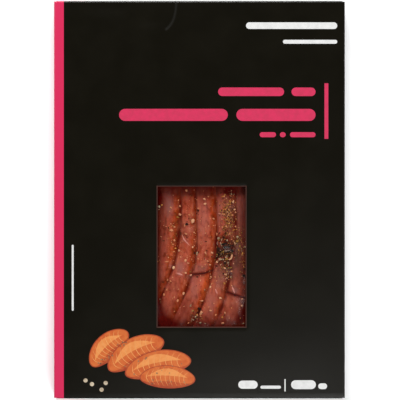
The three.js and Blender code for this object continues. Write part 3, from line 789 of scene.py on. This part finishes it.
def heap_core():
    """Ground pepper packed into the hollow, from the pouch up to where the crumbs lie."""
    xs = np.arange(*CORE_X, CORE_STEP)
    ys = np.arange(*CORE_Y, CORE_STEP)
    under = np.array([[drop_to(x, y, FISH_BASE) for x in xs] for y in ys])
    gx, gy = np.meshgrid(xs, ys)
    over = HOLLOW_FLOOR - 0.1 + CORE_ROUGHNESS * noise_at(gx * 1.3, gy * 1.3, 2.0)
    low = under < HOLLOW_FLOOR - 0.3
    cells = low[:-1, :-1] & low[1:, :-1] & low[:-1, 1:] & low[1:, 1:]
    wide = len(xs)
    below = over.size
    faces = []
    for j, i in zip(*np.nonzero(cells)):
        corner = j * wide + i
        ring = [corner, corner + 1, corner + wide + 1, corner + wide]
        faces += [tuple(ring), tuple(below + k for k in reversed(ring))]
        beyond = [(j - 1, i), (j, i + 1), (j + 1, i), (j, i - 1)]
        for (a, b), (nj, ni) in zip(zip(ring, ring[1:] + ring[:1]), beyond):
            if not cells[nj, ni]:
                faces.append((b, a, below + a, below + b))
    points = np.vstack([as_points(gx, gy, over), as_points(gx, gy, under + CORE_GAP)])
    piece = make_piece("pepper_core", points, faces)
    builder = bmesh.new()
    builder.from_mesh(piece.data)
    bmesh.ops.delete(builder, geom=[v for v in builder.verts if not v.link_faces], context="VERTS")
    builder.to_mesh(piece.data)
    builder.free()
    ground = two_toned("ground_pepper", CORE_TONES, 1500, 4, 0.4, 0.65, 0.8, 0.3, Specular_IOR_Level=0.1)
    piece.data.materials.append(ground)


heap_core()

HUSKS = [  # places along each curled husk on the heap, its width, and how pale it is
    ([(10.6, -21.7), (11.1, -22.7), (11.5, -24.0)], 0.70, 0.30),
    ([(12.8, -26.6), (13.5, -26.3), (14.3, -26.3), (15.3, -26.5)], 0.62, 0.25),
    ([(12.9, -29.3), (13.7, -29.5), (14.2, -30.1), (14.3, -31.0)], 0.58, 0.15),
    ([(16.8, -28.0), (17.0, -29.2), (16.5, -30.3), (15.5, -31.0), (14.8, -30.9)], 0.85, 0.85),
    ([(14.4, -32.5), (14.9, -33.3), (15.1, -34.4)], 0.62, 0.20),
    ([(11.0, -30.0), (10.3, -30.6), (10.1, -31.6)], 0.70, 0.55),
    ([(9.3, -21.5), (9.2, -22.6), (9.6, -23.6)], 0.55, 0.05),
    ([(17.7, -21.5), (18.3, -22.4), (18.5, -23.6)], 0.60, 0.60),
]
HUSK_TONES = (0.26, 0.13, 0.10), (0.66, 0.34, 0.17)
HUSK_FLOOR = HOLLOW_FLOOR + 0.5  # they lie on the crumbs
HUSK_REACH = 0.1
husks = thread_piece("pepper_husks", [row[:2] for row in HUSKS], HUSK_FLOOR)
add_values(husks, "tone", [row[2] for row in HUSKS for _ in range(THREAD_RINGS * THREAD_AROUND + 2)])
husks.data.materials.append(pepper_material("husk", *HUSK_TONES))
grain_tops.extend((*(v.co / MM), HUSK_REACH) for v in husks.data.vertices)
for kind, (dark, light) in PEPPER_COLOURS.items():
    points, faces, tones = [], [], []
    for shape, its_faces, tone in grains[kind]:
        faces.extend((its_faces + len(points)).tolist())
        points.extend(shape)
        tones.extend([tone] * len(shape))
    piece = make_piece("pepper_" + kind, points, faces)
    add_values(piece, "tone", tones)
    piece.data.materials.append(pepper_material(kind, dark, light))


# ==== Clear pouch ====
# A bag of clear vacuum film about 0.1 mm thick, sealed flat round its margins. With the air drawn out it
# hugs the fish, bridges the seams between the strips and falls in shoulders to the flat margin.

FILM_STEP = 0.85
FILM_GAP = 0.12  # how far the skin stays off the fish
FILM_START = 3.0  # how far above the margin the skin begins, before it is drawn down
FILM_PULL = 0.010  # how far it is drawn down in each round
FILM_ROUNDS = 420
FLAT_MARGIN = 0.5  # height of the flat margin
POCKET_X = -55.0, 47.0
POCKET_Y = -95.0, 66.0
WRINKLE_HEIGHT = 0.16
WRINKLE_WIDTH = 0.25  # how far the noise may lie from zero within a wrinkle
WRINKLES_FROM = 2  # the least height above the margin that has wrinkles
CRINKLE_HEIGHT = 0.12
FILM_IOR = 1.27  # refractive index


def film_heights(xs, ys, flat):
    """Draws a skin down over the fish: it rests on the fish, and its margins stay flat."""
    held = np.array([[drop_to(x, y, flat) for x in xs] for y in ys])
    for x, y, top, reach in grain_tops:
        near = (np.abs(ys - y) < reach + FILM_STEP / 2)[:, None] & (np.abs(xs - x) < reach + FILM_STEP / 2)
        held = np.where(near, np.maximum(held, top), held)
    resting = held + FILM_GAP * (held > flat + 0.1)
    skin = np.maximum(resting, flat + FILM_START)
    inside = np.zeros_like(held, dtype=bool)
    inside[2:-2, 2:-2] = True
    for _ in range(FILM_ROUNDS):
        mean = (np.roll(skin, 1, 0) + np.roll(skin, -1, 0) + np.roll(skin, 1, 1) + np.roll(skin, -1, 1)) / 4
        skin = np.where(inside, np.maximum(resting, mean - FILM_PULL), flat)
    ways = [(i, j) for i in (-1, 0, 1) for j in (-1, 0, 1)]
    skin = np.max([np.roll(skin, way, (0, 1)) for way in ways], axis=0)
    for _ in range(2):
        skin = np.mean([np.roll(skin, way, (0, 1)) for way in ways], axis=0)
    return np.where(inside, skin, flat)


def film_material():
    """Thin film: the light that it doesn't reflect goes straight through, on either face."""
    material = new_material("clear_film")
    crinkle = speckle(material, 260, 3, (1, 0.5, 1))
    bump = {"Height": crinkle, "Strength": 1.0, "Distance": CRINKLE_HEIGHT * MM}
    normal = node(material, "ShaderNodeBump", bump).outputs["Normal"]
    see = node(material, "ShaderNodeBsdfTransparent", {"Color": (0.97, 0.97, 0.97, 1)})
    gloss = {"Color": (1, 1, 1, 1), "Roughness": 0.2, "Normal": normal}
    shine = node(material, "ShaderNodeBsdfGlossy", gloss)
    inner = node(material, "ShaderNodeNewGeometry", {}).outputs["Backfacing"]
    index = remap(material, inner, 0.0, 1.0, FILM_IOR, 1 / FILM_IOR)
    fresnel = node(material, "ShaderNodeFresnel", {"IOR": index, "Normal": normal})
    parts = {0: fresnel.outputs[0], 1: see.outputs[0], 2: shine.outputs[0]}
    mixed = node(material, "ShaderNodeMixShader", parts)
    node(material, "ShaderNodeOutputMaterial", {"Surface": mixed.outputs[0]})
    return material


def grid_faces(long, wide, first=0):
    """Quads over a grid of points that are stored row by row."""
    corners = [first + j * wide + i for j in range(long - 1) for i in range(wide - 1)]
    return [(k, k + 1, k + wide + 1, k + wide) for k in corners]


def border(wide, long):
    """Once round the edge of a grid: each point's place across it and along it."""
    last_i, last_j = wide - 1, long - 1
    there = [(i, 0) for i in range(last_i)] + [(last_i, j) for j in range(last_j)]
    back = [(i, last_j) for i in range(last_i, 0, -1)] + [(0, j) for j in range(last_j, 0, -1)]
    return there + back


def slab_faces(long, wide, first=0):
    """Faces of a closed slab: an upper grid of points, a lower one, and a rim between them."""
    upper = grid_faces(long, wide, first)
    below = long * wide
    lower = [tuple(below + k for k in reversed(face)) for face in upper]
    rim = [j * wide + i for i, j in border(wide, long)]
    sides = []
    for a, b in zip(rim, rim[1:] + rim[:1]):
        sides.append((first + b, first + a, first + below + a, first + below + b))
    return upper + lower + sides


def pouch_piece():
    """The bag as one closed slab: flat below, and above drawn over the fish and finely wrinkled."""
    low, high = (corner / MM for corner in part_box("pouch"))
    flat = low.z + FLAT_MARGIN
    xs = np.arange(POCKET_X[0], POCKET_X[1], FILM_STEP)
    ys = np.arange(POCKET_Y[0], POCKET_Y[1], FILM_STEP)
    skin = film_heights(xs, ys, flat)
    gx, gy = np.meshgrid(xs, ys)
    wrinkle = np.abs(noise_at(gx * 0.22 + 0.05 * gy, gy * 0.05, 4.0))
    ridge = WRINKLE_HEIGHT * np.maximum(0, WRINKLE_WIDTH - wrinkle) / WRINKLE_WIDTH
    skin = skin + ridge * (skin > flat + WRINKLES_FROM)
    skin = np.pad(skin, 1, constant_values=flat)
    gx, gy = np.meshgrid([low.x, *xs, high.x], [low.y, *ys, high.y])
    points = np.vstack([as_points(gx, gy, skin), as_points(gx, gy, np.full_like(skin, low.z))])
    piece = make_piece("pouch_film", points, slab_faces(*skin.shape))
    piece.data.materials.append(film_material())
    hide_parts("pouch")


pouch_piece()


# ==== Carton ====
# One blank of coated board 0.6 mm thick, die-cut, printed, creased, folded round the pouch and glued: a
# seam along the back and a flap over either end. The contents push its front panel out a little, and
# handling has left a hooked crease and soft dents near its top. The cut edge of the window is crushed.

CARD = 0.6
FOLD_RADIUS = 0.8
FOLD_STEPS = 4
EDGE_HEIGHT = 11.0  # height of the front panel along its folds
PACK_WIDTH = 2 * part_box("carton")[1].x / MM
PACK_LENGTH = 2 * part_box("carton")[1].y / MM
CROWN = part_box("carton")[1].z / MM - EDGE_HEIGHT
WINDOW_WIDTH = 45.3
WINDOW_LENGTH = 72.1
WINDOW_X = 1.1
WINDOW_Y = -29.33
CRUSH_WIDTH = 0.52  # the crushed rim of the window
CRUSH_DEPTH = 0.22
FLAP_SIDE = PACK_WIDTH / 2 - 1.3  # half the width of an end flap
FLAP_LOW = 1.9  # height of its lower edge
FLAP_STEP = 0.28  # how far it stands out from the rest of the end
BACK_SEAM = 16 - PACK_WIDTH / 2
SEAM_STEP = 0.3
SEAM_SLOPE = 0.03
STEP_LINE = 0.04  # how far from a step the lines on its two sides run
WALL_LINES = (0.06, 0.075, 0.35, 0.65)  # heights of the lines along a wall, as shares of it
SHARP_ANGLE = math.radians(34)
PANEL_STEP = 2.5  # how far apart the lines across a panel lie, and close to the crease
CREASE_STEP = 0.45
CREASE_DEPTH = 0.20
CREASE_WIDTH = 0.5
CREASE_AREA = ((-27.0, -8.0), (84.0, PACK_LENGTH / 2))
CREASE_HOOK = ((-11.9, 102.6), (-12.3, 96.0), (-13.0, 91.0), (-17.2, 88.0))
DENTS = (  # middle across and along, half width, half length, depth
    (-49.0, 99.5, 11.0, 4.5, 0.40),
    (-25.0, 92.5, 6.5, 4.0, 0.28),
    (38.0, 44.0, 20.0, 34.0, 0.16),
    (-46.0, -18.0, 15.0, 42.0, 0.18),
    (52.0, -70.0, 16.0, 18.0, -0.12),
    (5.0, -104.0, 70.0, 14.0, 0.34),
)


def hook_curve(count):
    """Places along the hooked crease."""
    t = np.linspace(0, 1, count)[:, None]
    a, b, c, d = (np.array(p) for p in CREASE_HOOK)
    return (1 - t) ** 3 * a + 3 * (1 - t) ** 2 * t * b + 3 * (1 - t) * t**2 * c + t**3 * d


def from_crease(x, y):
    """How far a point lies from the hooked crease."""
    return np.min([np.hypot(x - hook_x, y - hook_y) for hook_x, hook_y in hook_curve(60)], axis=0)


def front_height(x, y):
    """The outer face of the front panel, before it turns over the folds."""
    across = np.maximum(0, 1 - (2 * x / PACK_WIDTH) ** 2)
    along = np.maximum(0, 1 - (2 * y / PACK_LENGTH) ** 2)
    height = EDGE_HEIGHT + CROWN * across * along
    for dent_x, dent_y, wide, long, depth in DENTS:
        height = height - depth * np.exp(-(((x - dent_x) / wide) ** 2) - ((y - dent_y) / long) ** 2)
    return height - CREASE_DEPTH * np.exp(-((from_crease(x, y) / CREASE_WIDTH) ** 2))


def turn(value, half):
    """How far the face has turned in where a fold rounds it off."""
    past = np.clip(np.abs(value) - (half - FOLD_RADIUS), 0, FOLD_RADIUS)
    return FOLD_RADIUS - np.sqrt(FOLD_RADIUS**2 - past**2)


def ruled(half, breaks, fine):
    """Lines across a panel: round the folds, at every break, and closer together in the fine stretch."""
    quarter = [math.sin(math.pi / 2 * k / FOLD_STEPS) for k in range(FOLD_STEPS + 1)]
    folds = [half - FOLD_RADIUS + FOLD_RADIUS * share for share in quarter]
    stops = sorted(set(folds + [-f for f in folds] + list(breaks) + list(fine)))
    lines = [stops[0]]
    for start, end in zip(stops, stops[1:]):
        step = CREASE_STEP if fine[0] <= start and end <= fine[1] else PANEL_STEP
        pieces = max(1, math.ceil((end - start) / step - 1e-6))
        lines += [start + (end - start) * k / pieces for k in range(1, pieces + 1)]
    return np.array(lines)


def window_edge(x, y):
    """How far outside the window's cut a point lies, or below 0 inside it."""
    return np.maximum(np.abs(x - WINDOW_X) - WINDOW_WIDTH / 2, np.abs(y - WINDOW_Y) - WINDOW_LENGTH / 2)


def both_sides(middle, half, offsets):
    """Lines at the given distances outside either end of a stretch."""
    return [middle + side * (half + offset) for side in (-1, 1) for offset in offsets]


def carton_mesh():
    """The board's outer face: both panels, the walls between them, and the window's hole."""
    crush = (0.0, CRUSH_WIDTH / 2, CRUSH_WIDTH)
    x_breaks = both_sides(WINDOW_X, WINDOW_WIDTH / 2, crush)
    x_breaks += both_sides(0, FLAP_SIDE, (-STEP_LINE, STEP_LINE))
    x_breaks += [BACK_SEAM - STEP_LINE, BACK_SEAM + STEP_LINE, BACK_SEAM - 2.0]
    xs = ruled(PACK_WIDTH / 2, x_breaks, CREASE_AREA[0])
    ys = ruled(PACK_LENGTH / 2, both_sides(WINDOW_Y, WINDOW_LENGTH / 2, crush), CREASE_AREA[1])
    gx, gy = np.meshgrid(xs, ys, indexing="ij")
    turned_in = np.maximum(turn(gx, PACK_WIDTH / 2), turn(gy, PACK_LENGTH / 2))
    outside = window_edge(gx, gy)
    crushed = CRUSH_DEPTH * np.clip(1 - outside / CRUSH_WIDTH, 0, 1) ** 2
    top = front_height(gx, gy) - turned_in - crushed
    lapped = smoothstep(gx, FOLD_RADIUS - PACK_WIDTH / 2, BACK_SEAM)
    bottom = turned_in + SEAM_STEP * (smoothstep(BACK_SEAM - gx, 0, SEAM_SLOPE) * lapped)
    builder = bmesh.new()
    wear = builder.verts.layers.float.new("wear")
    crease = builder.verts.layers.float.new("crease")

    def vertex(x, y, z, worn, creased=0.0):
        """One vertex, with how worn and how creased the board is there."""
        made = builder.verts.new((x * MM, y * MM, z * MM))
        made[wear] = worn
        made[crease] = creased
        return made

    worn = np.clip(turned_in / FOLD_RADIUS * 3, 0, 1) * np.clip(3 - turned_in / FOLD_RADIUS * 3, 0, 1)
    creased = np.exp(-((from_crease(gx, gy) / CREASE_WIDTH) ** 2))
    rows = range(len(xs))
    columns = range(len(ys))
    upper = [
        [vertex(gx[i, j], gy[i, j], top[i, j], worn[i, j], creased[i, j]) for j in columns]
        for i in rows
    ]
    lower = [[vertex(gx[i, j], gy[i, j], bottom[i, j], worn[i, j]) for j in columns] for i in rows]
    for i in rows[:-1]:
        for j in columns[:-1]:
            middle = window_edge((xs[i] + xs[i + 1]) / 2, (ys[j] + ys[j + 1]) / 2)
            if middle > 0:
                corners = upper[i][j], upper[i + 1][j], upper[i + 1][j + 1], upper[i][j + 1]
                face = builder.faces.new(corners)
                face.material_index = 1 if middle < CRUSH_WIDTH else 0
            builder.faces.new((lower[i][j], lower[i][j + 1], lower[i + 1][j + 1], lower[i + 1][j]))
    for i in rows:
        for j in columns:
            if not upper[i][j].link_faces:
                builder.verts.remove(upper[i][j])
    walls = []
    for i, j in border(len(xs), len(ys)):
        wall = [lower[i][j]]
        for share in WALL_LINES:
            z = bottom[i, j] + (top[i, j] - bottom[i, j]) * share
            wall.append(vertex(gx[i, j], gy[i, j], z, 0.0))
        walls.append(wall + [upper[i][j]])
    for wall, following in zip(walls, walls[1:] + walls[:1]):
        for k in range(len(wall) - 1):
            builder.faces.new((wall[k], following[k], following[k + 1], wall[k + 1]))
    for v in builder.verts:
        past = (abs(v.co.y) / MM - PACK_LENGTH / 2 + FOLD_RADIUS) / FOLD_RADIUS
        beside_flap = abs(v.co.x) > FLAP_SIDE * MM or v.co.z < FLAP_LOW * MM
        if past > 0 and beside_flap:
            v.co.y -= math.copysign(FLAP_STEP * past * MM, v.co.y)
    mesh = bpy.data.meshes.new("carton_board")
    builder.to_mesh(mesh)
    builder.free()
    return mesh


INK_BLACK = (0.0034, 0.0026, 0.0006)
INK_PINK = (0.60, 0.024, 0.090)
BOARD_WORN = (0.34, 0.31, 0.28)
BOARD_CREASED = (0.5, 0.5, 0.48)
CUT_TONES = (0.060, 0.023, 0.017), (0.045, 0.015, 0.010)  # the crushed fibres of the cut edge
INSIDE_TONES = (0.20, 0.17, 0.14), (0.15, 0.12, 0.10)  # the bare, uncoated side
BAND_EDGE = -69.9  # where the pink band ends
PRINT_BLUR = 0.03


def board_material():
    """Black satin print with the pink band, which goes round the side to the seam, and rubbed folds."""
    material = new_material("printed_board")
    place = node(material, "ShaderNodeSeparateXYZ", {"Vector": place_of(material)})
    across, height = place.outputs["X"], place.outputs["Z"]
    band = remap(material, across, (BAND_EDGE + PRINT_BLUR) * MM, (BAND_EDGE - PRINT_BLUR) * MM)
    lapped = remap(material, across, (BACK_SEAM + PRINT_BLUR) * MM, (BACK_SEAM - PRINT_BLUR) * MM)
    low_down = remap(material, height, FLAP_LOW * MM, 0.95 * FLAP_LOW * MM)
    back_band = combine(material, "MULTIPLY", lapped, low_down)
    pink = combine(material, "MAXIMUM", band, back_band)
    cloudy = speckle(material, 60, 4)
    greyer = tuple(1.2 * channel for channel in INK_BLACK)
    black = blend_colours(material, remap(material, cloudy, 0.4, 0.7), INK_BLACK, greyer)
    colour = blend_colours(material, pink, black, INK_PINK)
    fine = speckle(material, 2400, 3)
    rubbed = remap(material, fine, 0.52, 0.68, 0.0, 0.10)
    worn = combine(material, "MULTIPLY", read_value(material, "wear"), rubbed)
    colour = blend_colours(material, worn, colour, BOARD_WORN)
    creased = combine(material, "MULTIPLY", read_value(material, "crease"), 0.018)
    colour = blend_colours(material, creased, colour, BOARD_CREASED)
    return finish_surface(
        material,
        colour,
        remap(material, cloudy, 0.3, 0.7, 0.28, 0.32),
        fine,
        0.008,
        Specular_IOR_Level=0.27,
    )


carton = bpy.data.objects.new("carton_board", carton_mesh())
bpy.context.scene.collection.objects.link(carton)
cut_edge = two_toned("cut_board_edge", CUT_TONES, 3000, 3, 0.4, 0.65, 0.8, 0.03, Specular_IOR_Level=0.2)
inside = two_toned("board_inside", INSIDE_TONES, 1200, 4, 0.3, 0.7, 0.85, 0.02)
for made in (board_material(), cut_edge, inside):
    carton.data.materials.append(made)
thickness = carton.modifiers.new("thickness", "SOLIDIFY")
thickness.thickness = CARD * MM
thickness.offset = -1
thickness.material_offset = 2
thickness.material_offset_rim = 1
bpy.context.view_layer.update()
solid_board = bpy.data.meshes.new_from_object(carton.evaluated_get(bpy.context.evaluated_depsgraph_get()))
carton.modifiers.clear()
carton.data = solid_board
carton.data.polygons.foreach_set("use_smooth", [True] * len(carton.data.polygons))
carton.data.set_sharp_from_angle(angle=SHARP_ANGLE)
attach(carton, "root")
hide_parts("carton")


# ==== Ink on the front ====
# Printed on the board before it was cut: plain bars and rules in pink and white where a pack carries its
# wording, and a fan of orange slices with pale lines. Each field is a skin of ink that follows the panel.

INK_SINK = 0.01  # how far a field reaches into the board
INK_LIFT = 0.02  # and how far it stands above it
INK_ROUGHNESS = 0.42


def ink_fields(name, grids, lift, colour, shade):
    """Fields of one ink. Each grid holds places on the panel, and lift is how high the ink stands."""
    points, faces = [], []
    for grid in grids:
        middle = grid.shape[0] // 2, grid.shape[1] // 2
        side_a = grid[middle[0], middle[1]] - grid[middle[0], middle[1] - 1]
        side_b = grid[middle[0], middle[1]] - grid[middle[0] - 1, middle[1]]
        if side_a[0] * side_b[1] - side_a[1] * side_b[0] < 0:
            grid = grid[:, ::-1]
        height = front_height(grid[..., 0], grid[..., 1])
        faces.extend(slab_faces(*height.shape, first=len(points)))
        for level in (lift, -INK_SINK):
            points.extend(np.dstack([grid, height + level]).reshape(-1, 3))
    piece = make_piece(name, points, faces)
    material = new_material(name)
    mottle = speckle(material, 400, 3)
    mixed = blend_colours(material, remap(material, mottle, 0.35, 0.65), colour, shade)
    finish_surface(material, mixed, INK_ROUGHNESS, speckle(material, 2400, 3), 0.008)
    piece.data.materials.append(material)
    piece.data.set_sharp_from_angle(angle=SHARP_ANGLE)


def bar(x0, y0, x1, y1, rounding=1.0):
    """A field with round ends, from its lower left corner to its upper right, as a grid of places."""
    lies = x1 - x0 > y1 - y0
    half = (y1 - y0 if lies else x1 - x0) / 2
    length = x1 - x0 if lies else y1 - y0
    end = half * rounding
    quarter = np.sin(np.linspace(0.0, math.pi / 2, 6)) * end
    straight = np.linspace(end, length - end, max(2, int(length / 3)))[1:-1]
    run = np.concatenate([end - quarter[::-1], straight, length - end + quarter])
    past = np.clip(1 - np.minimum(run, length - run) / max(end, 1e-9), 0, 1) if end else 0 * run
    reach = half * (1 - rounding) + half * rounding * np.sqrt(np.maximum(0.0004, 1 - past**2))
    along, over = np.broadcast_arrays(run[:, None], np.linspace(-1, 1, 5) * reach[:, None])
    if lies:
        return np.dstack([x0 + along, (y0 + y1) / 2 - over])
    return np.dstack([(x0 + x1) / 2 + over, y0 + along])


PINK_BARS = [  # lower left corner, upper right corner, and 0 for square ends
    (9.6, 53.4, 43.6, 57.8),
    (47.4, 53.4, 59.8, 57.8),
    (-41.4, 40.6, 14.6, 46.8),
    (19.0, 40.6, 59.8, 46.8),
    (31.0, 32.2, 39.4, 34.8),
    (41.4, 32.2, 44.4, 34.8),
    (46.6, 32.2, 59.8, 34.8),
    (64.4, 31.4, 66.4, 60.0, 0.0),
]
WHITE_BARS = [
    (24.0, 88.0, 71.0, 91.4),
    (43.0, 80.4, 71.0, 82.4),
    (20.0, -97.4, 30.0, -93.2),
    (31.4, -97.4, 42.0, -95.8),
    (43.8, -98.8, 44.4, -92.4, 0.0),
    (47.2, -97.6, 60.0, -93.0),
    (61.2, -97.6, 65.8, -94.6),
    (-65.8, -57.2, -64.8, -23.2),
]
PINK_TONES = INK_PINK, (0.52, 0.025, 0.08)
WHITE_TONES = (0.72, 0.72, 0.71), (0.64, 0.64, 0.63)
ink_fields("ink_pink", [bar(*row) for row in PINK_BARS], INK_LIFT, *PINK_TONES)
ink_fields("ink_white", [bar(*row) for row in WHITE_BARS], INK_LIFT, *WHITE_TONES)

SLICES = [  # root across and along, way it points, length, half width, bend
    (-55.5, -87.0, 64.0, 27.0, 6.6, -0.7),
    (-47.5, -89.0, 46.0, 34.0, 7.2, -0.6),
    (-39.5, -91.0, 27.0, 36.5, 7.0, -0.5),
    (-32.0, -92.0, 8.0, 30.0, 6.0, -0.35),
]
SLICE_RISE = 0.03  # how much higher each slice's ink stands than the last one's
SLICE_INKS = {  # how far each ink stands above the slice's first, and its two tones
    "edge": (0.0, (0.30, 0.030, 0.006), (0.40, 0.07, 0.015)),
    "body": (0.008, (0.52, 0.088, 0.013), (0.60, 0.14, 0.026)),
    "shade": (0.011, (0.38, 0.046, 0.006), (0.46, 0.075, 0.012)),
    "light": (0.014, (0.68, 0.21, 0.045), (0.74, 0.28, 0.075)),
    "fat": (0.02, (0.74, 0.36, 0.12), (0.66, 0.27, 0.085)),
}
PATH_STEPS = 24  # steps along a slice's bent middle
BODY_LOW = -0.84  # the body's two sides, as shares of the slice's half width
BODY_HIGH = 0.93


def round_ended(share):
    """A slice's half width along it, as a share of its widest."""
    return np.sqrt(np.sin(math.pi * (0.001 + 0.998 * share)))


def slice_places(root_x, root_y, way, length, half, bend, share, side):
    """Places on a slice: share runs along it from 0 to 1, side across it from -1 to 1."""
    start = math.radians(way)
    steps = np.linspace(0, 1, PATH_STEPS)
    path_x = np.cumsum(np.cos(start + bend * steps)) * length / PATH_STEPS
    path_y = np.cumsum(np.sin(start + bend * steps)) * length / PATH_STEPS
    angle = start + bend * share
    half_here = half * round_ended(share)
    x = root_x + np.interp(share, steps, path_x) - np.sin(angle) * side * half_here
    y = root_y + np.interp(share, steps, path_y) + np.cos(angle) * side * half_here
    return np.dstack([x, y])


def slice_field(slice_, shares, low, high):
    """Part of a slice, between two lines along it."""
    share = np.asarray(shares, dtype=float)[:, None]
    low = np.asarray(low, dtype=float).reshape(-1, 1)
    high = np.asarray(high, dtype=float).reshape(-1, 1)
    side = low + (high - low) * np.linspace(1, 0, 5)
    return slice_places(*slice_, *np.broadcast_arrays(share, side))


def fat_line(slice_, share, bow, reach, thick):
    """A pale line of fat bowed across a slice."""
    side = np.linspace(-reach, reach, 14)[:, None]
    width = thick * np.sqrt(np.maximum(0.02, 1 - (side / reach) ** 2))
    spread = np.array([-1.0, 0.0, 1.0]) * width / slice_[3]
    return slice_places(*slice_, *np.broadcast_arrays(share + bow * side**2 + spread, side))


# Shares along a slice, closer together at its ends, and how far each ink reaches across it there.
whole = (1 - np.cos(np.linspace(0, math.pi, 44))) / 2
inner = 0.02 + 0.96 * whole
narrower = round_ended(whole) / round_ended(inner)
shadow = BODY_LOW + 0.46 * np.sin(math.pi * whole)
glow = 0.12 + 0.74 * whole
swell = 0.02 + 0.6 * np.sin(math.pi * whole)
fat_places = [0.12 + 0.084 * k for k in range(9)]
for n, slice_ in enumerate(SLICES):
    fields = {
        "edge": [slice_field(slice_, whole, -1.0, 1.0)],
        "body": [slice_field(slice_, inner, BODY_LOW * narrower, BODY_HIGH * narrower)],
        "shade": [slice_field(slice_, inner, BODY_LOW * narrower, shadow * narrower)],
        "light": [slice_field(slice_, glow, 0.1, 0.1 + swell)],
        "fat": [fat_line(slice_, share, bow=0.10, reach=0.80, thick=0.15) for share in fat_places],
    }
    for ink, (above, *tones) in SLICE_INKS.items():
        lift = INK_LIFT + SLICE_RISE * n + above
        ink_fields("slice_" + str(n + 1) + "_" + ink, fields[ink], lift, *tones)

PEPPERCORNS = [(-58.7, -93.1), (-55.4, -95.0), (-48.3, -94.4), (-50.4, -97.9)]
PEPPERCORN_RADIUS = 1.1
PEPPERCORN_TONES = (0.60, 0.50, 0.36), (0.34, 0.26, 0.17)
SPECKS = 46
SPECK_LIFT = 0.16  # above every slice
SPECK_TONES = (0.10, 0.04, 0.02), (0.34, 0.20, 0.10)


def disc(x, y, radius, wider):
    """A round field, whose radius to the right is a hair wider."""
    return bar(x - radius, y - radius, x + wider, y + radius)


discs = [disc(x, y, PEPPERCORN_RADIUS, PEPPERCORN_RADIUS + 0.001) for x, y in PEPPERCORNS]
ink_fields("ink_peppercorns", discs, INK_LIFT, *PEPPERCORN_TONES)
specks = []
dots = random.Random(9)
for _ in range(SPECKS):
    slice_ = dots.choice(SLICES)
    share, side = np.array([[dots.uniform(0.1, 0.9)]]), np.array([[dots.uniform(-0.9, -0.3)]])
    x, y = slice_places(*slice_, share, side)[0, 0]
    radius = dots.uniform(0.18, 0.42)
    specks.append(disc(x, y, radius, radius * 1.001))
ink_fields("ink_specks", specks, SPECK_LIFT, *SPECK_TONES)


# ==== Studio ====
# A pale floor lit a little from below, a broad light from beyond the pack's top, a second above its lower
# right, weaker ones overhead and on either side, and a long lens straight above the pack.

floor_mesh = bpy.data.meshes.new("floor")
floor_mesh.from_pydata([(-6, -6, 0), (6, -6, 0), (6, 6, 0), (-6, 6, 0)], [], [(0, 1, 2, 3)])
floor = bpy.data.objects.new("floor", floor_mesh)
bpy.context.scene.collection.objects.link(floor)
floor_material = new_material("pale_floor")
paper = speckle(floor_material, 30, 3)
pale = blend_colours(floor_material, paper, (0.92, 0.92, 0.92), (0.96, 0.96, 0.96))
finish_surface(floor_material, pale, 0.9, Emission_Color=(1, 1, 1, 1), Emission_Strength=0.15)
floor_mesh.materials.append(floor_material)

PICTURE_SIDE = 400  # in pixels, as are the pack's width and its middle from the top left corner
PACK_PIXELS = 291.3
PACK_CENTRE = (199.45, 199.75)
LENS = 150.0
SENSOR = 36.0
FACE_HEIGHT = EDGE_HEIGHT + CROWN / 2
pixel = PACK_WIDTH / PACK_PIXELS
distance = PICTURE_SIDE * pixel / SENSOR * LENS
right, down = (PICTURE_SIDE / 2 - centre for centre in PACK_CENTRE)
camera = bpy.data.objects.new("camera", bpy.data.cameras.new("camera"))
camera.data.lens = LENS
camera.data.sensor_width = SENSOR
camera.data.clip_end = 10
camera.location = (right * pixel * MM, -down * pixel * MM, (FACE_HEIGHT + distance) * MM)
bpy.context.scene.collection.objects.link(camera)
bpy.context.scene.camera = camera


LIGHTS = [  # place, width and length in metres, and power in watts
    ("light_beyond", (-0.15, 1.25, 0.75), 0.7, 0.35, 26),
    ("light_near", (0.5, -1.1, 0.9), 0.6, 0.4, 11.5),
    ("light_high", (0.25, -0.55, 1.35), 0.5, 0.35, 2.3),
    ("light_left", (-1.2, 0.3, 0.9), 0.5, 0.6, 4.2),
    ("light_right", (1.1, -0.2, 0.9), 0.5, 0.6, 2.6),
]
for name, place, width, length, watts in LIGHTS:
    lamp = bpy.data.lights.new(name, "AREA")
    lamp.shape = "RECTANGLE"
    lamp.size = width
    lamp.size_y = length
    lamp.energy = watts
    light = bpy.data.objects.new(name, lamp)
    light.location = place
    light.rotation_euler = (-Vector(place)).to_track_quat("-Z", "Y").to_euler()
    bpy.context.scene.collection.objects.link(light)

world = bpy.data.worlds.new("studio")
world.use_nodes = True
surroundings = world.node_tree.nodes["Background"].inputs
surroundings["Color"].default_value = (0.9, 0.95, 1.0, 1.0)
surroundings["Strength"].default_value = 0.056
bpy.context.scene.world = world
bpy.context.scene.view_settings.view_transform = "Standard"
